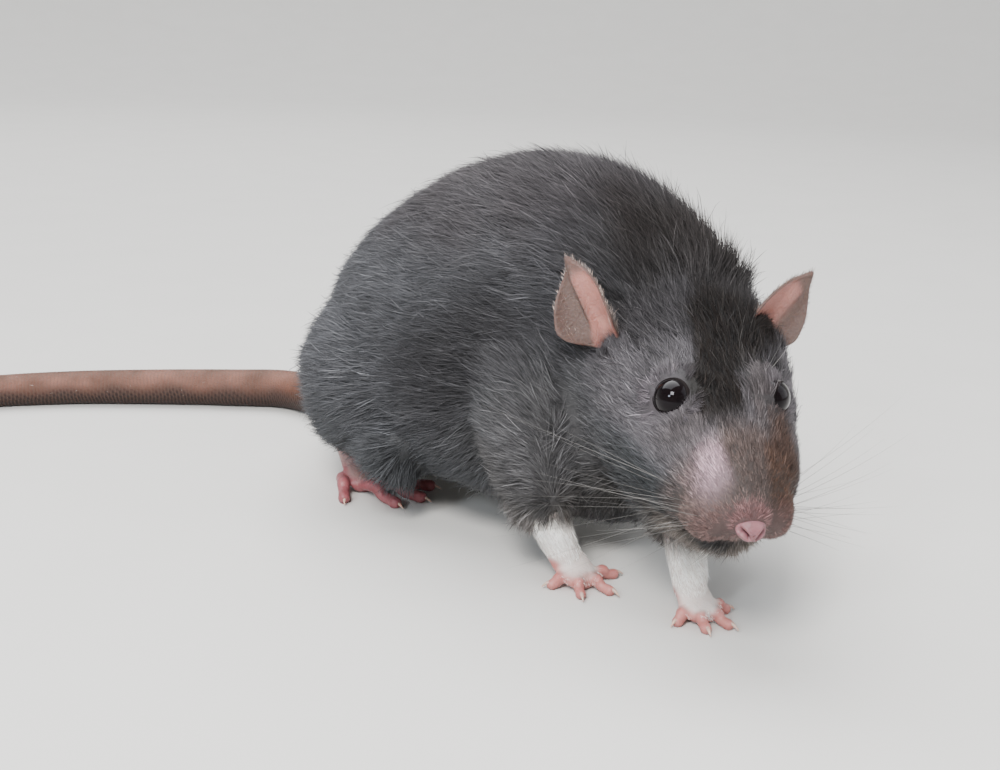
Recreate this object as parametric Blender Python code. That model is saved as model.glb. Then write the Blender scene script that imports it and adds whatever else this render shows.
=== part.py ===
"""Pet rat, an adult male at life size, crouched on four feet with its head turned.

The rat faces -Y, its right side is -X and its soles lie in z = 0. All sizes are in
millimetres, with outlines to the tips of the coat, and the finished meshes are scaled
to metres about the point of the floor under the middle of the body.

The body is one smooth form of lofted masses. Curved and flat cuts part it into head,
neck, torso and limbs, and every two parts that meet keep a gap of GAP between them.
"""

import math

import bmesh
import bpy
import numpy as np
from mathutils import Matrix, Vector

# Units and fits
METRES_PER_MM = 0.001
GAP = 0.3

# Fineness of the body's surface
BODY_VOXEL = 0.85
BODY_SMOOTHING = 8
BODY_TRIANGLES = 2700
HEAD_TRIANGLES = 1900

# Trunk from rump to chest: y, x of the midline, top, bottom, half width
TRUNK = [
    (-18, 6, 36, 12.5, 13.5),
    (-25, 6, 47.5, 10.0, 20.0),
    (-35, 6, 60, 6.5, 26.5),
    (-50, 5.5, 70, 5, 31),
    (-65, 5, 76.5, 5, 32.5),
    (-80, 5, 79.2, 5, 31.5),
    (-95, 6, 77, 5.5, 27.5),
    (-108, 8.5, 70.5, 7, 22),
    (-118, 11, 62.5, 11, 17.5),
]
TRUNK_ROUND = 6.0

# Head in its own frame: distance behind the nose, level of its widest part, half width,
# top, bottom
HEAD_LENGTH = 54.0
HEAD_ROWS = [
    (1.2, -0.3, 3.0, 2.6, -2.8),
    (4, -0.8, 5.4, 5.0, -6.0),
    (8, -1.4, 9.0, 7.6, -8.8),
    (12, -2.2, 11.8, 9.6, -10.6),
    (17, -3.4, 14.0, 11.6, -12.4),
    (23, -4.5, 16.0, 13.6, -14.6),
    (30, -5.4, 17.7, 15.6, -16.6),
    (38, -6.0, 19.2, 17.2, -18.6),
    (46, -6.0, 20.8, 18.4, -20.0),
    (HEAD_LENGTH, -6.0, 21.4, 18.8, -21.5),
]
# Lower jaw: distance behind the nose, height, half width, half height
JAW_ROWS = [
    (9.0, -8.6, 3.0, 2.2),
    (14, -10.4, 4.6, 2.8),
    (22, -12.2, 7.4, 4.4),
    (32, -13.4, 10.0, 6.0),
]
WHISKER_PAD = (5.3, 8.8, -2.4)
WHISKER_PAD_RADII = (4.6, 6.6, 5.2)
NOSE_PAD = (0.0, 1.3, -0.9)
NOSE_PAD_RADII = (2.6, 1.9, 2.3)
NOSE_TIP = (-22.4, -154.1, 28.5)
HEAD_TURN = 35.5
HEAD_DOWN = 14.3

# Eyes
EYE_CENTRE = (8.5, 23.8, 9.5)
EYE_RADIUS = 3.45
EYE_LOOK = (0.70, -0.52, 0.48)
LID_THICKNESS = 0.65
LID_OPENING = 3.35
LID_HEIGHT = 2.0
LID_FLOOR = 0.78

# Ears
EAR_BASES = {"right": (-16.8, 43.5, 9.8), "left": (13.0, 45.6, 9.0)}
EAR_TIPS = {"right": (-22.6, 51.5, 23.0), "left": (22.4, 49.6, 21.0)}
EAR_FACINGS = {"right": (-0.72, -0.72, 0.10), "left": (0.43, -1.18, 0.19)}
EAR_LENGTHS = {"right": 16.4, "left": 15.7}
EAR_ROOT = 3.6
EAR_HALF_WIDTH = 6.4
EAR_CUPS = {"right": 3.4, "left": 2.0}
EAR_FOLDS = {"right": 1.2, "left": 0.4}
EAR_THICKNESS = 0.8

# Solid that parts the head from the neck, in the head's frame: distance behind the nose, height
HEAD_CUT = [(-12, 45), (50, 45), (50, -8), (34, -24), (-12, -24)]
HEAD_CUT_HALF_WIDTH = 45.0
NECK_CUT = (6.0, -96.0, 45.0)
NECK_CUT_AXIS = (0.16, 0.96, 0.22)
BLOCK = 160.0

# Limb masses in the coat: x, y, z, radius, for the right side of the rat
HIP_X = 4.5
HAUNCH = (-12.0, -50.0, 28.0)
HAUNCH_RADII = (20.0, 21.5, 20.5)
SHANK_ROWS = [(-20, -63, 17, 9.0), (-17, -49, 19.5, 8.0), (-11.5, -36, 21.5, 6.2)]
ARM_RIGHT = [(-12, -93, 38, 12.5), (-15.5, -97, 26, 10.0), (-16.8, -101.5, 16.5, 7.0)]
ARM_LEFT = [(20, -100, 38, 12.0), (8, -113, 28, 10.0), (-3.5, -125.0, 18.0, 7.0)]

# Solids that part the limbs from the trunk: x, y, z, radius
THIGH_CUT = (-28.0, -46.0, 31.0)
THIGH_CUT_RADII = (18.0, 24.0, 24.0)
SHANK_CUT = [(-27, -67, 15, 9.5), (-23, -48, 15, 9.5), (-12, -29, 18.5, 8.0)]
ARM_CUT_RIGHT = [(-22, -93, 47, 12), (-22, -95, 34, 14), (-18, -99, 22, 11.5), (-17.0, -103, 14, 9.5)]
ARM_CUT_LEFT = [(28, -97, 47, 12), (19, -103, 35, 14), (6, -115, 25, 11.5), (-5.0, -127.5, 15, 9.5)]

# Forelegs below the coat: x, y, z, radius, from elbow to below the wrist
FOREARM_RIGHT = [(-17.6, -99.0, 21.0, 5.2), (-16.6, -103.4, 12.5, 4.5), (-14.9, -107.0, 5.0, 3.9)]
FOREARM_LEFT = [(-3.2, -122.8, 23.0, 5.2), (-6.3, -129.0, 12.5, 4.4), (-7.2, -131.6, 5.0, 3.9)]
WRIST_HEIGHT = 6.4

# Feet on the floor: palms, and the tips of the claws of each digit
PALM_RIGHT = (-14.2, -109.6)
PALM_LEFT = (-7.4, -133.4)
FORE_TIPS_RIGHT = [(-21.2, -107.2), (-19.6, -116.6), (-12.7, -119.6), (-4.6, -113.4)]
FORE_TIPS_LEFT = [(-14.8, -133.6), (-12.2, -140.6), (-6.6, -142.6), (0.0, -136.8)]
FORE_DIGIT_RADIUS = 1.25
HEEL = (-11.0, -25.5)
HEEL_HEIGHT = 13.5
SOLE = (-14.8, -44.5)
HIND_TIPS = [(-25.6, -50.6), (-17.0, -60.6), (-9.6, -61.4), (-2.6, -56.6), (-4.2, -45.6)]
HIND_DIGIT_RADIUS = 1.45
CLAW_LENGTH = 2.2
CLAW_RADIUS = 0.55

# Tail along the floor: x, y, radius, from its root in the rump to its tip
TAIL_ROWS = [
    (4.6, -20.0, 6.4),
    (6.0, -9.0, 5.7),
    (8.4, 4.0, 5.4),
    (5.6, 17.5, 5.2),
    (-5.0, 28.5, 5.0),
    (-21.6, 43.0, 4.75),
    (-38.0, 55.5, 4.5),
    (-56.0, 65.5, 4.25),
    (-80.0, 73.5, 3.8),
    (-104.0, 75.0, 3.3),
    (-126.0, 67.5, 2.7),
    (-142.0, 52.0, 2.1),
    (-149.0, 33.0, 1.4),
    (-150.0, 22.0, 0.9),
]
TAIL_RAISED = [8.0, 1.6]
TAIL_FLAT = 0.25
TAIL_LENGTHS = [0.0, 0.235, 0.43, 0.62, 0.80, 1.0]

# Colours and roughness of the materials
FINISHES = {
    "coat_grey": ((0.095, 0.095, 0.105), 0.85),
    "coat_white": ((0.62, 0.60, 0.58), 0.85),
    "ear_skin": ((0.26, 0.15, 0.12), 0.6),
    "foot_skin": ((0.47, 0.26, 0.24), 0.55),
    "tail_skin": ((0.36, 0.24, 0.20), 0.6),
    "eye_black": ((0.01, 0.01, 0.012), 0.08),
}


# Curves and frames

def unit(vector):
    """Return the vector at length one, row by row."""
    vector = np.asarray(vector, float)
    return vector / np.linalg.norm(vector, axis=-1, keepdims=True)


def smooth_rows(rows, count):
    """Return count rows along a smooth curve through the given rows, evenly spaced."""
    rows = np.asarray(rows, float)
    steps = np.linalg.norm(np.diff(rows[:, :3], axis=0), axis=1)
    knots = np.concatenate([[0.0], np.cumsum(steps)])
    slopes = np.gradient(rows, knots, axis=0)
    places = np.linspace(0.0, knots[-1], count)
    span = np.clip(np.searchsorted(knots, places, side="right") - 1, 0, len(steps) - 1)
    width = steps[span][:, None]
    t = ((places - knots[span]) / steps[span])[:, None]
    return (
        (2 * t**3 - 3 * t**2 + 1) * rows[span]
        + (t**3 - 2 * t**2 + t) * width * slopes[span]
        + (3 * t**2 - 2 * t**3) * rows[span + 1]
        + (t**3 - t**2) * width * slopes[span + 1]
    )


def path_frames(centres, side=None, tangent=None):
    """Return the tangent, side and up vectors along a path of centres."""
    if tangent is None:
        tangent = unit(np.gradient(centres, axis=0))
    if side is None:
        sides = unit(np.cross(tangent, (0.0, 0.0, 1.0)))
    else:
        sides = np.broadcast_to(unit(side), centres.shape)
        sides = unit(sides - (sides * tangent).sum(1, keepdims=True) * tangent)
    return tangent, sides, np.cross(sides, tangent)


def head_matrix():
    """Return the head's frame: x to the rat's left, y backwards, z up, from the nose."""
    turn = Matrix.Rotation(-math.radians(HEAD_TURN), 4, "Z")
    down = Matrix.Rotation(math.radians(HEAD_DOWN), 4, "X")
    return Matrix.Translation(NOSE_TIP) @ turn @ down


def mirrored(rows):
    """Return rows of the right hind limb mirrored to the left one."""
    rows = np.array(rows, float)
    rows[..., 0] = 2 * HIP_X - rows[..., 0]
    return rows


# Meshes

def make_object(name, points, faces):
    """Return a new object of the given points and faces, with faces pointing out."""
    mesh = bpy.data.meshes.new(name)
    mesh.from_pydata([tuple(map(float, point)) for point in points], [], faces)
    thing = bpy.data.objects.new(name, mesh)
    bpy.context.scene.collection.objects.link(thing)
    edit = bmesh.new()
    edit.from_mesh(mesh)
    bmesh.ops.recalc_face_normals(edit, faces=edit.faces)
    edit.to_mesh(mesh)
    edit.free()
    return thing


def loft(name, centres, widths, tops, bottoms, around=20, caps=(0.0, 0.0), side=None, up=None,
         square=2.0, tangent=None):
    """Return a closed tube of oval sections along a path, with domed or flat ends.

    Every face is split along the same diagonal, so tubes of two sizes keep their distance.
    """
    centres = np.asarray(centres, float)
    widths, tops, bottoms = (np.asarray(size, float) for size in (widths, tops, bottoms))
    tangent, sides, ups = path_frames(centres, side, tangent)
    if up is not None:
        sides = np.broadcast_to(unit(side), centres.shape)
        ups = np.broadcast_to(unit(up), centres.shape)
    angle = np.linspace(0.0, 2 * math.pi, around, endpoint=False)
    across = np.sign(np.cos(angle)) * np.abs(np.cos(angle)) ** (2.0 / square)
    rise = np.sign(np.sin(angle)) * np.abs(np.sin(angle)) ** (2.0 / square)

    def ring(index, shift, scale):
        height = np.where(rise > 0, tops[index], bottoms[index]) * rise * scale
        return (
            centres[index]
            + shift * tangent[index]
            + (widths[index] * across * scale)[:, None] * sides[index]
            + height[:, None] * ups[index]
        )

    dome = np.radians([62.0, 31.0])
    rings = []
    if caps[0]:
        rings += [ring(0, -caps[0] * math.sin(a), math.cos(a)) for a in dome]
    rings += [ring(index, 0.0, 1.0) for index in range(len(centres))]
    if caps[1]:
        rings += [ring(-1, caps[1] * math.sin(a), math.cos(a)) for a in dome[::-1]]
    points = np.concatenate(rings)
    faces = []
    for row in range(0, (len(rings) - 1) * around, around):
        for k in range(around):
            after = (k + 1) % around
            faces.append((row + k, row + after, row + around + after))
            faces.append((row + k, row + around + after, row + around + k))
    poles = (centres[0] - caps[0] * tangent[0], centres[-1] + caps[1] * tangent[-1])
    for pole, first in zip(poles, (0, (len(rings) - 1) * around)):
        points = np.vstack([points, pole])
        faces += [(first + k, first + (k + 1) % around, len(points) - 1) for k in range(around)]
    return make_object(name, points, faces)


def limb(name, rows, count=8, around=14, caps=(True, True), grow=0.0, side=None):
    """Return a round limb along rows of x, y, z and radius, with domed ends by default."""
    rows = smooth_rows(rows, count)
    radii = rows[:, 3] + grow
    domes = (radii[0] if caps[0] else 0.0, radii[-1] if caps[1] else 0.0)
    return loft(name, rows[:, :3], radii, radii, radii, around, domes, side)


def ellipsoid(name, centre, radii, around=20, rings=12, frame=None):
    """Return a closed ellipsoid, in the given frame where there is one."""
    edit = bmesh.new()
    bmesh.ops.create_uvsphere(edit, u_segments=around, v_segments=rings, radius=1.0)
    place = Matrix.Translation(centre) @ Matrix.Diagonal((*radii, 1.0))
    bmesh.ops.transform(edit, matrix=(frame or Matrix()) @ place, verts=edit.verts)
    mesh = bpy.data.meshes.new(name)
    edit.to_mesh(mesh)
    edit.free()
    thing = bpy.data.objects.new(name, mesh)
    bpy.context.scene.collection.objects.link(thing)
    return thing


def remove(thing):
    """Remove an object and its mesh."""
    mesh = thing.data
    bpy.data.objects.remove(thing)
    if mesh.users == 0:
        bpy.data.meshes.remove(mesh)


def duplicate(thing, name):
    """Return a copy of an object with its own mesh."""
    copy = bpy.data.objects.new(name, thing.data.copy())
    bpy.context.scene.collection.objects.link(copy)
    return copy


def apply_modifiers(thing):
    """Replace an object's mesh with its evaluated one and drop its modifiers."""
    graph = bpy.context.evaluated_depsgraph_get()
    graph.update()
    mesh = bpy.data.meshes.new_from_object(thing.evaluated_get(graph))
    old = thing.data
    thing.modifiers.clear()
    thing.data = mesh
    bpy.data.meshes.remove(old)
    mesh.name = thing.name


def combine(thing, other, operation, keep=False):
    """Apply one exact Boolean to an object and remove the other unless it is kept."""
    cut = thing.modifiers.new("cut", "BOOLEAN")
    cut.operation = operation
    cut.object = other
    apply_modifiers(thing)
    if not keep:
        remove(other)
    return thing


def fuse(thing, pieces):
    """Join pieces to an object by one Boolean union on a collection."""
    group = bpy.data.collections.new("pieces")
    bpy.context.scene.collection.children.link(group)
    for piece in pieces:
        group.objects.link(piece)
    union = thing.modifiers.new("union", "BOOLEAN")
    union.operation = "UNION"
    union.operand_type = "COLLECTION"
    union.collection = group
    apply_modifiers(thing)
    for piece in pieces:
        remove(piece)
    bpy.data.collections.remove(group)
    return thing


def slice_off(thing, point, normal):
    """Cut away what lies beyond a plane on its normal's side and close the cut flat."""
    edit = bmesh.new()
    edit.from_mesh(thing.data)
    geometry = edit.verts[:] + edit.edges[:] + edit.faces[:]
    bmesh.ops.bisect_plane(
        edit, geom=geometry, plane_co=Vector(point), plane_no=Vector(normal).normalized(),
        clear_outer=True, dist=1e-4,
    )
    rim = [edge for edge in edit.edges if edge.is_boundary]
    bmesh.ops.holes_fill(edit, edges=rim, sides=0)
    bmesh.ops.triangulate(edit, faces=[face for face in edit.faces if len(face.verts) > 4])
    edit.to_mesh(thing.data)
    edit.free()
    return thing


def half_space(point, axis):
    """Return a large block on the side of a plane that its axis points to."""
    axis = unit(axis)
    lateral = unit(np.cross(axis, (0.0, 1.0, 0.0) if abs(axis[2]) > 0.9 else (0.0, 0.0, 1.0)))
    upright = np.cross(lateral, axis)
    corners = [(-1, -1), (1, -1), (1, 1), (-1, 1)]
    points = [
        np.asarray(point) + depth * axis + BLOCK * (a * lateral + b * upright)
        for depth in (0.0, 2 * BLOCK) for a, b in corners
    ]
    faces = [(0, 1, 2, 3), (4, 5, 6, 7)] + [(k, (k + 1) % 4, 4 + (k + 1) % 4, 4 + k) for k in range(4)]
    return make_object("block", points, faces)


def cut_beyond(thing, point, axis):
    """Cut away with a Boolean what lies beyond a plane on its axis's side."""
    return combine(thing, half_space(point, axis), "DIFFERENCE")


def inflate(thing, distance):
    """Push an object's surface out along its normals."""
    mesh = thing.data
    points = np.empty(len(mesh.vertices) * 3)
    normals = np.empty_like(points)
    mesh.vertices.foreach_get("co", points)
    mesh.vertex_normals.foreach_get("vector", normals)
    mesh.vertices.foreach_set("co", points + distance * normals)
    mesh.update()
    return thing


def largest_body(thing):
    """Clean a mesh and keep only its largest closed surface."""
    edit = bmesh.new()
    edit.from_mesh(thing.data)
    bmesh.ops.remove_doubles(edit, verts=edit.verts, dist=0.02)
    bmesh.ops.dissolve_degenerate(edit, edges=edit.edges, dist=0.01)
    bmesh.ops.triangulate(edit, faces=edit.faces)
    left = set(edit.faces)
    islands = []
    while left:
        stack = [left.pop()]
        island = list(stack)
        while stack:
            face = stack.pop()
            for edge in face.edges:
                for other in edge.link_faces:
                    if other in left:
                        left.remove(other)
                        stack.append(other)
                        island.append(other)
        islands.append(island)
    islands.sort(key=lambda island: sum(face.calc_area() for face in island), reverse=True)
    scraps = [face for island in islands[1:] for face in island]
    bmesh.ops.delete(edit, geom=scraps, context="FACES")
    bmesh.ops.delete(edit, geom=[edge for edge in edit.edges if not edge.link_faces], context="EDGES")
    bmesh.ops.delete(edit, geom=[vert for vert in edit.verts if not vert.link_faces], context="VERTS")
    bmesh.ops.recalc_face_normals(edit, faces=edit.faces)
    edit.to_mesh(thing.data)
    edit.free()
    return thing


def smooth_form(pieces, name, voxel, smoothing):
    """Return one smooth closed form around overlapping pieces."""
    edit = bmesh.new()
    for piece in pieces:
        edit.from_mesh(piece.data)
        remove(piece)
    mesh = bpy.data.meshes.new(name)
    edit.to_mesh(mesh)
    edit.free()
    form = bpy.data.objects.new(name, mesh)
    bpy.context.scene.collection.objects.link(form)
    cells = form.modifiers.new("cells", "REMESH")
    cells.mode = "VOXEL"
    cells.voxel_size = voxel
    relax = form.modifiers.new("relax", "SMOOTH")
    relax.factor = 0.5
    relax.iterations = smoothing
    apply_modifiers(form)
    return form


def simplify(form, triangles):
    """Reduce a form to about so many triangles."""
    edit = bmesh.new()
    edit.from_mesh(form.data)
    bmesh.ops.triangulate(edit, faces=edit.faces)
    edit.to_mesh(form.data)
    edit.free()
    fewer = form.modifiers.new("fewer", "DECIMATE")
    fewer.ratio = triangles / len(form.data.polygons)
    apply_modifiers(form)
    return form


# The furred body

def trunk_mass():
    """Return the trunk as a loft of upright sections along the back."""
    rows = smooth_rows([(x, y, (top + bottom) / 2, top, bottom, width)
                        for y, x, top, bottom, width in TRUNK], 34)
    belly = rows[:, 4] + 0.42 * (rows[:, 3] - rows[:, 4])
    centres = np.column_stack([rows[:, 0], rows[:, 1], belly])
    return loft("trunk", centres, rows[:, 5], rows[:, 3] - belly, belly - rows[:, 4], 40,
                (TRUNK_ROUND, TRUNK_ROUND), side=(1, 0, 0), up=(0, 0, 1), square=2.15)


def head_masses():
    """Return the masses of the head: skull and muzzle, jaw, whisker pads and nose."""
    frame = head_matrix()
    rows = smooth_rows([(0, back, level, width, top - level, level - bottom)
                        for back, level, width, top, bottom in HEAD_ROWS], 26)
    skull = loft("skull", rows[:, :3], rows[:, 3], rows[:, 4], rows[:, 5], 32, (1.0, 8.0),
                 side=(1, 0, 0), up=(0, 0, 1), square=2.1)
    rows = smooth_rows([(0, back, height, width, half) for back, height, width, half in JAW_ROWS], 10)
    jaw = loft("jaw", rows[:, :3], rows[:, 3], rows[:, 4], rows[:, 4], 24, (1.8, 4.0),
               side=(1, 0, 0), up=(0, 0, 1))
    pieces = [skull, jaw, ellipsoid("nose", NOSE_PAD, NOSE_PAD_RADII)]
    for sign in (-1, 1):
        x, y, z = WHISKER_PAD
        pieces.append(ellipsoid("pad", (sign * x, y, z), WHISKER_PAD_RADII))
    for piece in pieces:
        piece.data.transform(frame)
    return pieces


def body_form():
    """Return the whole furred body, from nose to rump, as one closed form."""
    pieces = [trunk_mass()] + head_masses()
    for side in ("right", "left"):
        place = mirrored if side == "left" else np.array
        pieces.append(ellipsoid("haunch", place(HAUNCH), HAUNCH_RADII))
        pieces.append(limb("shank", place(SHANK_ROWS)))
    for rows in (ARM_RIGHT, ARM_LEFT):
        pieces.append(limb("arm", rows, side=(1, 0, 0)))
    return smooth_form(pieces, "body", BODY_VOXEL, BODY_SMOOTHING)


# Head details

def eye_frame(sign):
    """Return the frame of an eye in the head: z along its look, y towards the brow."""
    x, y, z = EYE_CENTRE
    look = Vector((sign * EYE_LOOK[0], EYE_LOOK[1], EYE_LOOK[2])).normalized()
    across = Vector((0, 0, 1)).cross(look).normalized()
    brow = look.cross(across)
    turn = Matrix((across, brow, look)).transposed().to_4x4()
    return head_matrix() @ Matrix.Translation((sign * x, y, z)) @ turn


def lid_opening(sign):
    """Return the cutter of the lids: round above, nearly straight below."""
    around = 22
    angle = np.linspace(0, 2 * math.pi, around, endpoint=False)
    x = LID_OPENING * np.cos(angle)
    y = LID_OPENING * np.maximum(np.sin(angle), -LID_FLOOR)
    low = np.column_stack([x, y, np.full(around, 0.7)])
    high = np.column_stack([x * 1.15, y * 1.15, np.full(around, 6.0)])
    faces = [(k, (k + 1) % around, around + (k + 1) % around, around + k) for k in range(around)]
    faces += [tuple(range(around)), tuple(range(around, 2 * around))]
    cutter = make_object("opening", np.vstack([low, high]), faces)
    cutter.data.transform(eye_frame(sign))
    return cutter


def add_lids(head, sign):
    """Raise the lids of one eye on the head and cut its socket and opening."""
    frame = eye_frame(sign)
    outer = EYE_RADIUS + GAP + LID_THICKNESS
    lids = ellipsoid("lids", (0, 0, 0), (outer,) * 3, 20, 12)
    slice_off(lids, (0, 0, LID_HEIGHT), (0, 0, 1))
    lids.data.transform(frame)
    combine(head, lids, "UNION")
    combine(head, lid_opening(sign), "DIFFERENCE")
    combine(head, ellipsoid("socket", (0, 0, 0), (EYE_RADIUS + GAP,) * 3, 16, 10, frame), "DIFFERENCE")


def add_nose_and_mouth(head):
    """Cut the nostrils, the cleft of the upper lip and the line of the mouth."""
    frame = head_matrix()
    for sign in (-1, 1):
        nostril = [(sign * 0.75, 0.2, -1.35, 0.42), (sign * 1.5, 0.3, -0.6, 0.6), (sign * 2.3, 1.3, 0.15, 0.5)]
        cutter = limb("nostril", nostril, 5, 8)
        cutter.data.transform(frame)
        combine(head, cutter, "DIFFERENCE")
    cleft = limb("cleft", [(0, -0.1, -2.1, 0.36), (0, 1.5, -3.7, 0.4), (0, 4.4, -5.4, 0.45)], 6, 8,
                 side=(1, 0, 0))
    mouth = limb("mouth", [(-6.6, 17.0, -8.6, 0.4), (-5.6, 11.5, -7.6, 0.5), (-3.0, 7.2, -6.3, 0.55),
                           (0, 5.4, -5.7, 0.55), (3.0, 7.2, -6.3, 0.55), (5.6, 11.5, -7.6, 0.5),
                           (6.6, 17.0, -8.6, 0.4)], 15, 7)
    for cutter in (cleft, mouth):
        cutter.data.transform(frame)
        combine(head, cutter, "DIFFERENCE")


def make_eye(side):
    """Return the eyeball of one side."""
    sign = -1 if side == "right" else 1
    return ellipsoid(f"eye_{side}", (0, 0, 0), (EYE_RADIUS,) * 3, 16, 10, eye_frame(sign))


def ear_outline(angle):
    """Return the radius of the ear's outline at an angle from its tip, as part of its half length."""
    point = 0.13 * np.exp(-((angle / 0.28) ** 2))
    return 0.90 + point


def make_ear(side):
    """Return a cupped, leaf-shaped ear with its root sunk in the head."""
    base, tip, facing = (np.array(place[side]) for place in (EAR_BASES, EAR_TIPS, EAR_FACINGS))
    along = unit(tip - base)
    facing = unit(facing - facing.dot(along) * along)
    across = np.cross(along, facing)
    half = (EAR_LENGTHS[side] + EAR_ROOT) / 2
    rings, around = 4, 20
    angle = np.linspace(-math.pi, math.pi, around, endpoint=False)
    radius = np.linspace(0, 1, rings + 1)[1:]
    r, a = np.meshgrid(radius, angle, indexing="ij")
    reach = r * ear_outline(a)
    up = reach * np.cos(a)
    wide = reach * np.sin(a) * (1 - 0.38 * up)
    up, wide = np.append(up.ravel(), 0.0), np.append(wide.ravel(), 0.0)
    fold = EAR_FOLDS[side] * np.exp(-((wide / 0.22) ** 2)) * np.clip(up, 0, 1)
    depth = EAR_CUPS[side] * (wide**2 + 0.12 * up**2) + fold + 1.1 * np.clip(-up - 0.2, 0, 1)
    middle = base + along * (half - EAR_ROOT)
    sheet = (
        middle
        + (up * half)[:, None] * along
        + (wide * EAR_HALF_WIDTH)[:, None] * across
        + depth[:, None] * facing
    )
    last = len(sheet) - 1
    faces = [(last, k, (k + 1) % around) for k in range(around)]
    for ring in range(rings - 1):
        row = ring * around
        for k in range(around):
            n = (k + 1) % around
            faces.append((row + k, row + around + k, row + n))
            faces.append((row + n, row + around + k, row + around + n))
    ear = make_object(f"ear_{side}", sheet, faces)
    shell = ear.modifiers.new("shell", "SOLIDIFY")
    shell.thickness = EAR_THICKNESS
    shell.offset = 0.0
    apply_modifiers(ear)
    ear.data.transform(head_matrix())
    return ear


# Feet, forearms and tail

def make_digit(root, tip, radius, rise):
    """Return a digit arched from its root to a pad on the floor, and its claw."""
    root, tip = np.array((*root, 2.0)), np.array((*tip, 0.4))
    run = tip - root
    length = np.linalg.norm(run)
    pad = 1 - CLAW_LENGTH / length
    digit = limb("digit", [
        (*root[:2], 2.2, radius * 1.1),
        (*(root + 0.42 * pad * run)[:2], radius + rise, radius * 1.02),
        (*(root + 0.75 * pad * run)[:2], radius * 0.82, radius * 0.92),
        (*(root + 0.93 * pad * run)[:2], radius * 0.78, radius * 0.98),
    ], 5, 7, (False, True))
    claw = limb("claw", [
        (*(root + 0.92 * pad * run)[:2], 1.6, CLAW_RADIUS),
        (*(root + (pad + 0.5 * (1 - pad)) * run)[:2], 1.5, CLAW_RADIUS * 0.8),
        (*(root + 0.97 * run)[:2], 0.65, CLAW_RADIUS * 0.35),
    ], 3, 5, (False, False))
    return [digit, claw]


def fore_paw(side):
    """Return a forefoot: the wrist, the palm, four digits with claws and the thumb's knob."""
    right = side == "right"
    rows = np.array(FOREARM_RIGHT if right else FOREARM_LEFT, float)
    palm = np.array(PALM_RIGHT if right else PALM_LEFT)
    tips = np.array(FORE_TIPS_RIGHT if right else FORE_TIPS_LEFT)
    heading = unit(tips[1:3].mean(0) - palm)
    lateral = np.array((-heading[1], heading[0], 0.0))
    wrist = rows[2]
    top = wrist[:3] + 0.45 * (rows[1][:3] - wrist[:3])
    centres = smooth_rows([
        (*top, 4.0, 3.9),
        (*wrist[:2], 5.0, 4.0, 3.7),
        (*(palm + 0.4 * heading), 2.5, 4.3, 2.8),
        (*(palm + 3.2 * heading), 1.8, 3.9, 2.1),
    ], 7)
    foot = loft(f"fore_paw_{side}", centres[:, :3], centres[:, 3], centres[:, 4], centres[:, 4], 12,
                (0.0, 1.6), side=lateral)
    pieces = []
    for k, tip in enumerate(tips):
        across = (k - 1.5) * 1.9 * (1 if np.dot(tips[3] - tips[0], lateral[:2]) > 0 else -1)
        root = palm + 1.6 * heading + across * lateral[:2] - 0.5 * abs(k - 1.5) * heading
        pieces += make_digit(root, tip, FORE_DIGIT_RADIUS, 1.1)
    inner = tips[3] if right else tips[0]
    thumb = palm - 0.6 * heading + 3.4 * unit(inner - palm)
    pieces.append(ellipsoid("thumb", (*thumb, 1.5), (1.3, 1.3, 1.3), 10, 6))
    fuse(foot, pieces)
    point, axis = wrist_plane(side)
    cut_beyond(foot, point - axis * GAP / 2, axis)
    return cut_beyond(foot, (0, 0, 0), (0, 0, -1))


def wrist_plane(side):
    """Return a point and the upward axis of the cut between forearm and forefoot."""
    rows = smooth_rows(FOREARM_RIGHT if side == "right" else FOREARM_LEFT, 40)
    index = int(np.argmin(np.abs(rows[:, 2] - WRIST_HEIGHT)))
    axis = unit(rows[index - 2, :3] - rows[index + 1, :3])
    return rows[index, :3], axis


def forearm(side, grow=0.0):
    """Return the foreleg from inside the coat to the wrist, or its clearance."""
    rows = FOREARM_RIGHT if side == "right" else FOREARM_LEFT
    leg = limb(f"forearm_{side}", rows, 6, 12, (True, False), grow, side=(1, 0, 0))
    if not grow:
        point, axis = wrist_plane(side)
        cut_beyond(leg, point + axis * GAP / 2, -axis)
    return leg


def metatarsus(side, grow=0.0):
    """Return the long sole of a hind foot, or its clearance."""
    place = mirrored if side == "left" else np.array
    heel, sole = place(HEEL), place(SOLE)
    run = sole - heel
    rows = smooth_rows([
        (*heel, HEEL_HEIGHT, 3.5, 3.8),
        (*(heel + 0.45 * run), 0.62 * HEEL_HEIGHT, 3.4, 3.2),
        (*(heel + 0.85 * run), 3.4, 4.6, 2.9),
        (*(heel + 1.05 * run), 2.3, 5.2, 2.4),
    ], 7)
    return loft(f"hind_foot_{side}", rows[:, :3], rows[:, 3] + grow, rows[:, 4] + grow,
                rows[:, 4] + grow + 0.3, 12, (2.8 + grow, 2.0 + grow))


def hind_foot(side):
    """Return a hind foot: the long sole and five digits with claws."""
    place = mirrored if side == "left" else np.array
    foot = metatarsus(side)
    heel, sole, tips = place(HEEL), place(SOLE), place(HIND_TIPS)
    heading = unit(sole - heel)
    lateral = np.array((-heading[1], heading[0])) * (-1 if side == "left" else 1)
    offsets = [(-4.6, -3.0), (-2.4, 1.2), (0.4, 1.8), (3.0, 0.8), (4.2, -4.0)]
    pieces = []
    for (across, ahead), tip in zip(offsets, tips):
        root = sole + across * lateral + ahead * heading
        pieces += make_digit(root, tip, HIND_DIGIT_RADIUS, 1.3)
    fuse(foot, pieces)
    return cut_beyond(foot, (0, 0, 0), (0, 0, -1))


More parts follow.
